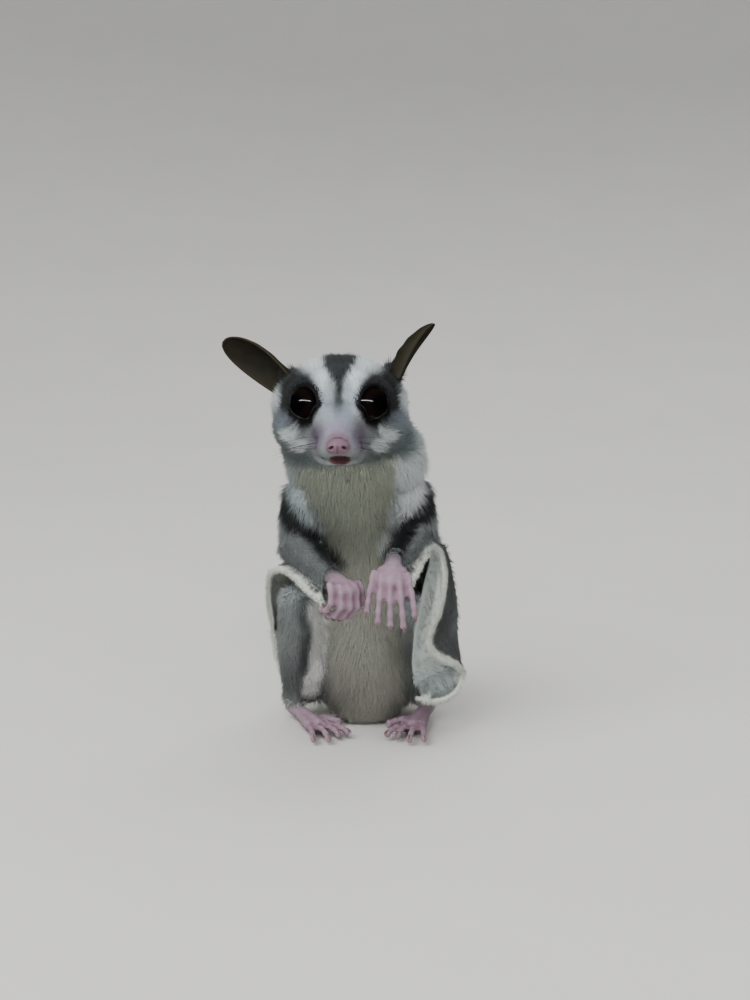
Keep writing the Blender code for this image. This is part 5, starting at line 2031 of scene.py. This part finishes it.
@dataclass
class Ears:
    """Two thin cupped ears, rolled into a funnel at their roots."""

    places: tuple[EarPlace, ...] = (
        EarPlace("right", (-20.0, -11.0, 91.6), (-37.2, -8.5, 102.8), (-0.30, -0.80, -0.55)),
        EarPlace("left", (7.0, -11.5, 92.8), (17.8, -4.5, 107.0), (0.79, -0.18, -0.58)),
    )
    half_width: float = 6.4
    roll: tuple[float, float] = (76.0, 40.0)
    widest: float = 0.45
    wall: float = 0.42
    columns: int = 36
    rows: int = 64

    def leaf(self, place: EarPlace) -> bpy.types.Object:
        """Bends a grid into one ear.

        Args:
            place: The ear's place.

        Returns:
            Its object, with a wall and the share of rim at each point.
        """
        root, tip = Vector(place.root), Vector(place.tip)
        along = (tip - root).normalized()
        across = along.cross(Vector(place.opening)).normalized()
        facing = across.cross(along).normalized()
        bm = bmesh.new()
        bmesh.ops.create_grid(bm, x_segments=self.columns, y_segments=self.rows, size=1.0)
        rim = bm.verts.layers.float.new("Rim")
        for vert in bm.verts:
            v, u = vert.co.x, 0.5 * (vert.co.y + 1.0)
            widen = 0.80 + 0.20 * math.sin(0.5 * math.pi * min(u / self.widest, 1.0))
            taper = math.sqrt(max(0.0, 1.0 - (max(u - self.widest, 0.0) / (1.0 - self.widest)) ** 2))
            half = self.half_width * widen * taper
            bend = math.radians(mix(self.roll[0], self.roll[1], u))
            reach = half / bend
            back = reach * (1.0 - math.cos(v * bend)) - 0.35 * half
            sway = 1.2 * math.sin(math.pi * u)
            fold = 0.22 * math.sin(9.0 * math.pi * u) * (1.0 - v * v) * (1.0 - u)
            lip = 0.45 * max(0.0, abs(v) - 0.86) / 0.14
            vert.co = mix(root, tip, u) + across * reach * math.sin(v * bend)
            vert.co += facing * (back - sway + fold + lip * (1.0 - 0.4 * u))
            vert[rim] = max(abs(v) ** 6, u**8)
        bmesh.ops.remove_doubles(bm, verts=bm.verts, dist=0.01)
        bmesh.ops.recalc_face_normals(bm, faces=bm.faces)
        ear = object_of("ear_shell_" + place.name, bm)
        wall = ear.modifiers.new("Wall", "SOLIDIFY")
        wall.thickness = self.wall * MM
        wall.offset = 0.0
        return settle(ear)

    def build(self) -> list[bpy.types.Object]:
        """Makes both ears in the place of their nodes.

        Returns:
            Their objects.
        """
        material = EarFinish().material()
        ears = []
        for place in self.places:
            ear = self.leaf(place)
            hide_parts("ear_" + place.name)
            ears.append(dress(ear, material))
        return ears


@dataclass
class Whiskers:
    """Fine dark bristles on the muzzle."""

    rows: tuple[tuple[float, float, float, float], ...] = (
        (4.2, 17.6, -7.6, 9.0), (4.8, 16.6, -9.0, 11.0), (5.2, 15.4, -10.4, 12.5),
        (4.6, 19.0, -8.6, 7.5), (5.0, 18.0, -10.0, 9.5), (6.0, 14.0, -9.4, 12.5), (6.2, 13.2, -11.0, 11.0),
    )
    radius: float = 0.06

    def build(self) -> bpy.types.Object:
        """Makes all bristles one piece.

        Returns:
            Their object.
        """
        draw = np.random.default_rng(5)
        tubes = Tubes(1, 3)
        for sign in (-1, 1):
            for side, forward, up, length in self.rows:
                root = head_place(sign * side, forward, up)
                back = 0.05 + draw.uniform(-0.12, 0.12)
                rise = -0.12 + draw.uniform(-0.15, 0.15)
                way = Vector((sign * 0.92, back, rise))
                middle = root + way * length * 0.5
                end = root + way * length + Vector((0.0, length * 0.28, -length * 0.12))
                radii = (self.radius, self.radius * 0.7, 0.012)
                tubes.add([tuple(root - way * 0.8), tuple(middle), tuple(end)], radii)
        bm = bmesh.new()
        merge_into(bm, tubes.mesh())
        obj = object_of("whiskers", bm)
        finish = HornFinish("whisker_bristle", (40, 38, 38), (74, 70, 68), 0.35)
        return dress(obj, finish.material())


# Studio


@dataclass
class Studio:
    """Pale floor, soft lights and the camera at the photograph's angle."""

    floor_m: float = 0.5
    bend_m: float = 1.9
    wall_m: float = 2.0
    target: Point = (2.3, -15.0, 62.1)
    elevation: float = 8.0
    distance: float = 400.0
    view_height: float = 260.0
    sensor: float = 36.0

    def build_floor(self) -> bpy.types.Object:
        """Turns the floor and the low wall that it rises into, neither of them part of the animal.

        Returns:
            The floor's object.
        """
        bm = bmesh.new()
        profile = [(0.0, 0.0), (self.floor_m, 0.0)]
        for step in range(1, 13):
            angle = math.radians(7.5 * step)
            out, up = math.sin(angle), 1.0 - math.cos(angle)
            profile.append((self.floor_m + self.bend_m * out, self.bend_m * up))
        profile.append((self.floor_m + self.bend_m, self.wall_m))
        verts = [bm.verts.new((x / MM, 0.0, z / MM)) for x, z in profile]
        edges = [bm.edges.new(pair) for pair in zip(verts, verts[1:])]
        bmesh.ops.spin(
            bm, geom=verts + edges, cent=(0, 0, 0), axis=(0, 0, 1), angle=math.tau, steps=96, use_merge=True,
        )
        bmesh.ops.remove_doubles(bm, verts=bm.verts, dist=0.01)
        bmesh.ops.recalc_face_normals(bm, faces=bm.faces)
        bmesh.ops.reverse_faces(bm, faces=[f for f in bm.faces if f.normal.z < 0])
        floor = object_of("floor", bm)
        floor.data.shade_smooth()
        floor.visible_glossy = False
        floor.data.materials.append(FloorFinish().material())
        return floor

    def add_light(
        self, name: str, azimuth: float, elevation: float, away_m: float, size_m: tuple[float, float],
        watts: float, glints: bool = True,
    ) -> None:
        """Hangs a soft rectangular light that faces the animal.

        Args:
            name: Its name.
            azimuth: Where it hangs, in degrees from the front towards the animal's left.
            elevation: How high, in degrees.
            away_m: Its distance in metres.
            size_m: Its width and height in metres.
            watts: Its power.
            glints: Whether it is seen in wet eyes.
        """
        light = bpy.data.lights.new(name, "AREA")
        light.shape = "RECTANGLE"
        light.size, light.size_y = size_m
        light.energy = watts
        lamp = bpy.data.objects.new(name, light)
        lamp.visible_glossy = glints
        bpy.context.scene.collection.objects.link(lamp)
        a, e = math.radians(azimuth), math.radians(elevation)
        back = Vector((math.sin(a) * math.cos(e), -math.cos(a) * math.cos(e), math.sin(e)))
        lamp.location = Vector(self.target) * MM + back * away_m
        lamp.rotation_mode = "QUATERNION"
        lamp.rotation_quaternion = (-back).to_track_quat("-Z", "Y")

    def build_lights(self) -> None:
        """Sets the lights and the room's even glow."""
        self.add_light("key", -40.0, 50.0, 1.1, (0.8, 0.7), 11.0, glints=False)
        self.add_light("strip", -20.0, 25.0, 0.8, (1.1, 0.035), 2.6)
        self.add_light("fill", 55.0, 25.0, 1.2, (1.0, 1.0), 3.0, glints=False)
        self.add_light("rim", 165.0, 55.0, 1.2, (1.0, 0.6), 7.0, glints=False)
        world = bpy.data.worlds.new("room")
        world.use_nodes = True
        glow = world.node_tree.nodes["Background"]
        glow.inputs["Color"].default_value = (0.80, 0.81, 0.82, 1.0)
        glow.inputs["Strength"].default_value = 0.75
        world.cycles_visibility.glossy = False
        bpy.context.scene.world = world

    def build_camera(self) -> bpy.types.Object:
        """Places the camera so that a pixel covers what it does in the photograph.

        Returns:
            The camera.
        """
        data = bpy.data.cameras.new("camera")
        data.sensor_width = self.sensor
        data.lens = self.sensor * self.distance / self.view_height
        data.clip_start = 0.01
        camera = bpy.data.objects.new("camera", data)
        bpy.context.scene.collection.objects.link(camera)
        e = math.radians(self.elevation)
        back = Vector((0.0, -math.cos(e), math.sin(e)))
        camera.location = (Vector(self.target) + back * self.distance) * MM
        camera.rotation_mode = "QUATERNION"
        camera.rotation_quaternion = (-back).to_track_quat("-Z", "Y")
        bpy.context.scene.camera = camera
        return camera


def write_sizes() -> None:
    """Brings the view layer up to date; no box is written."""
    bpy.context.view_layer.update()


def main() -> None:
    """Builds every piece in order."""
    logging.basicConfig(level=logging.INFO, format="%(message)s")
    paws = Paws()
    paws.lay_out()
    skin = Skin(paws, Markings())
    skin.build()
    Coat(skin).build()
    Eyes().build()
    Nose().build()
    Ears().build()
    paws.build_claws()
    Whiskers().build()
    studio = Studio()
    studio.build_floor()
    studio.build_lights()
    studio.build_camera()
    write_sizes()


if __name__ == "__main__":
    main()
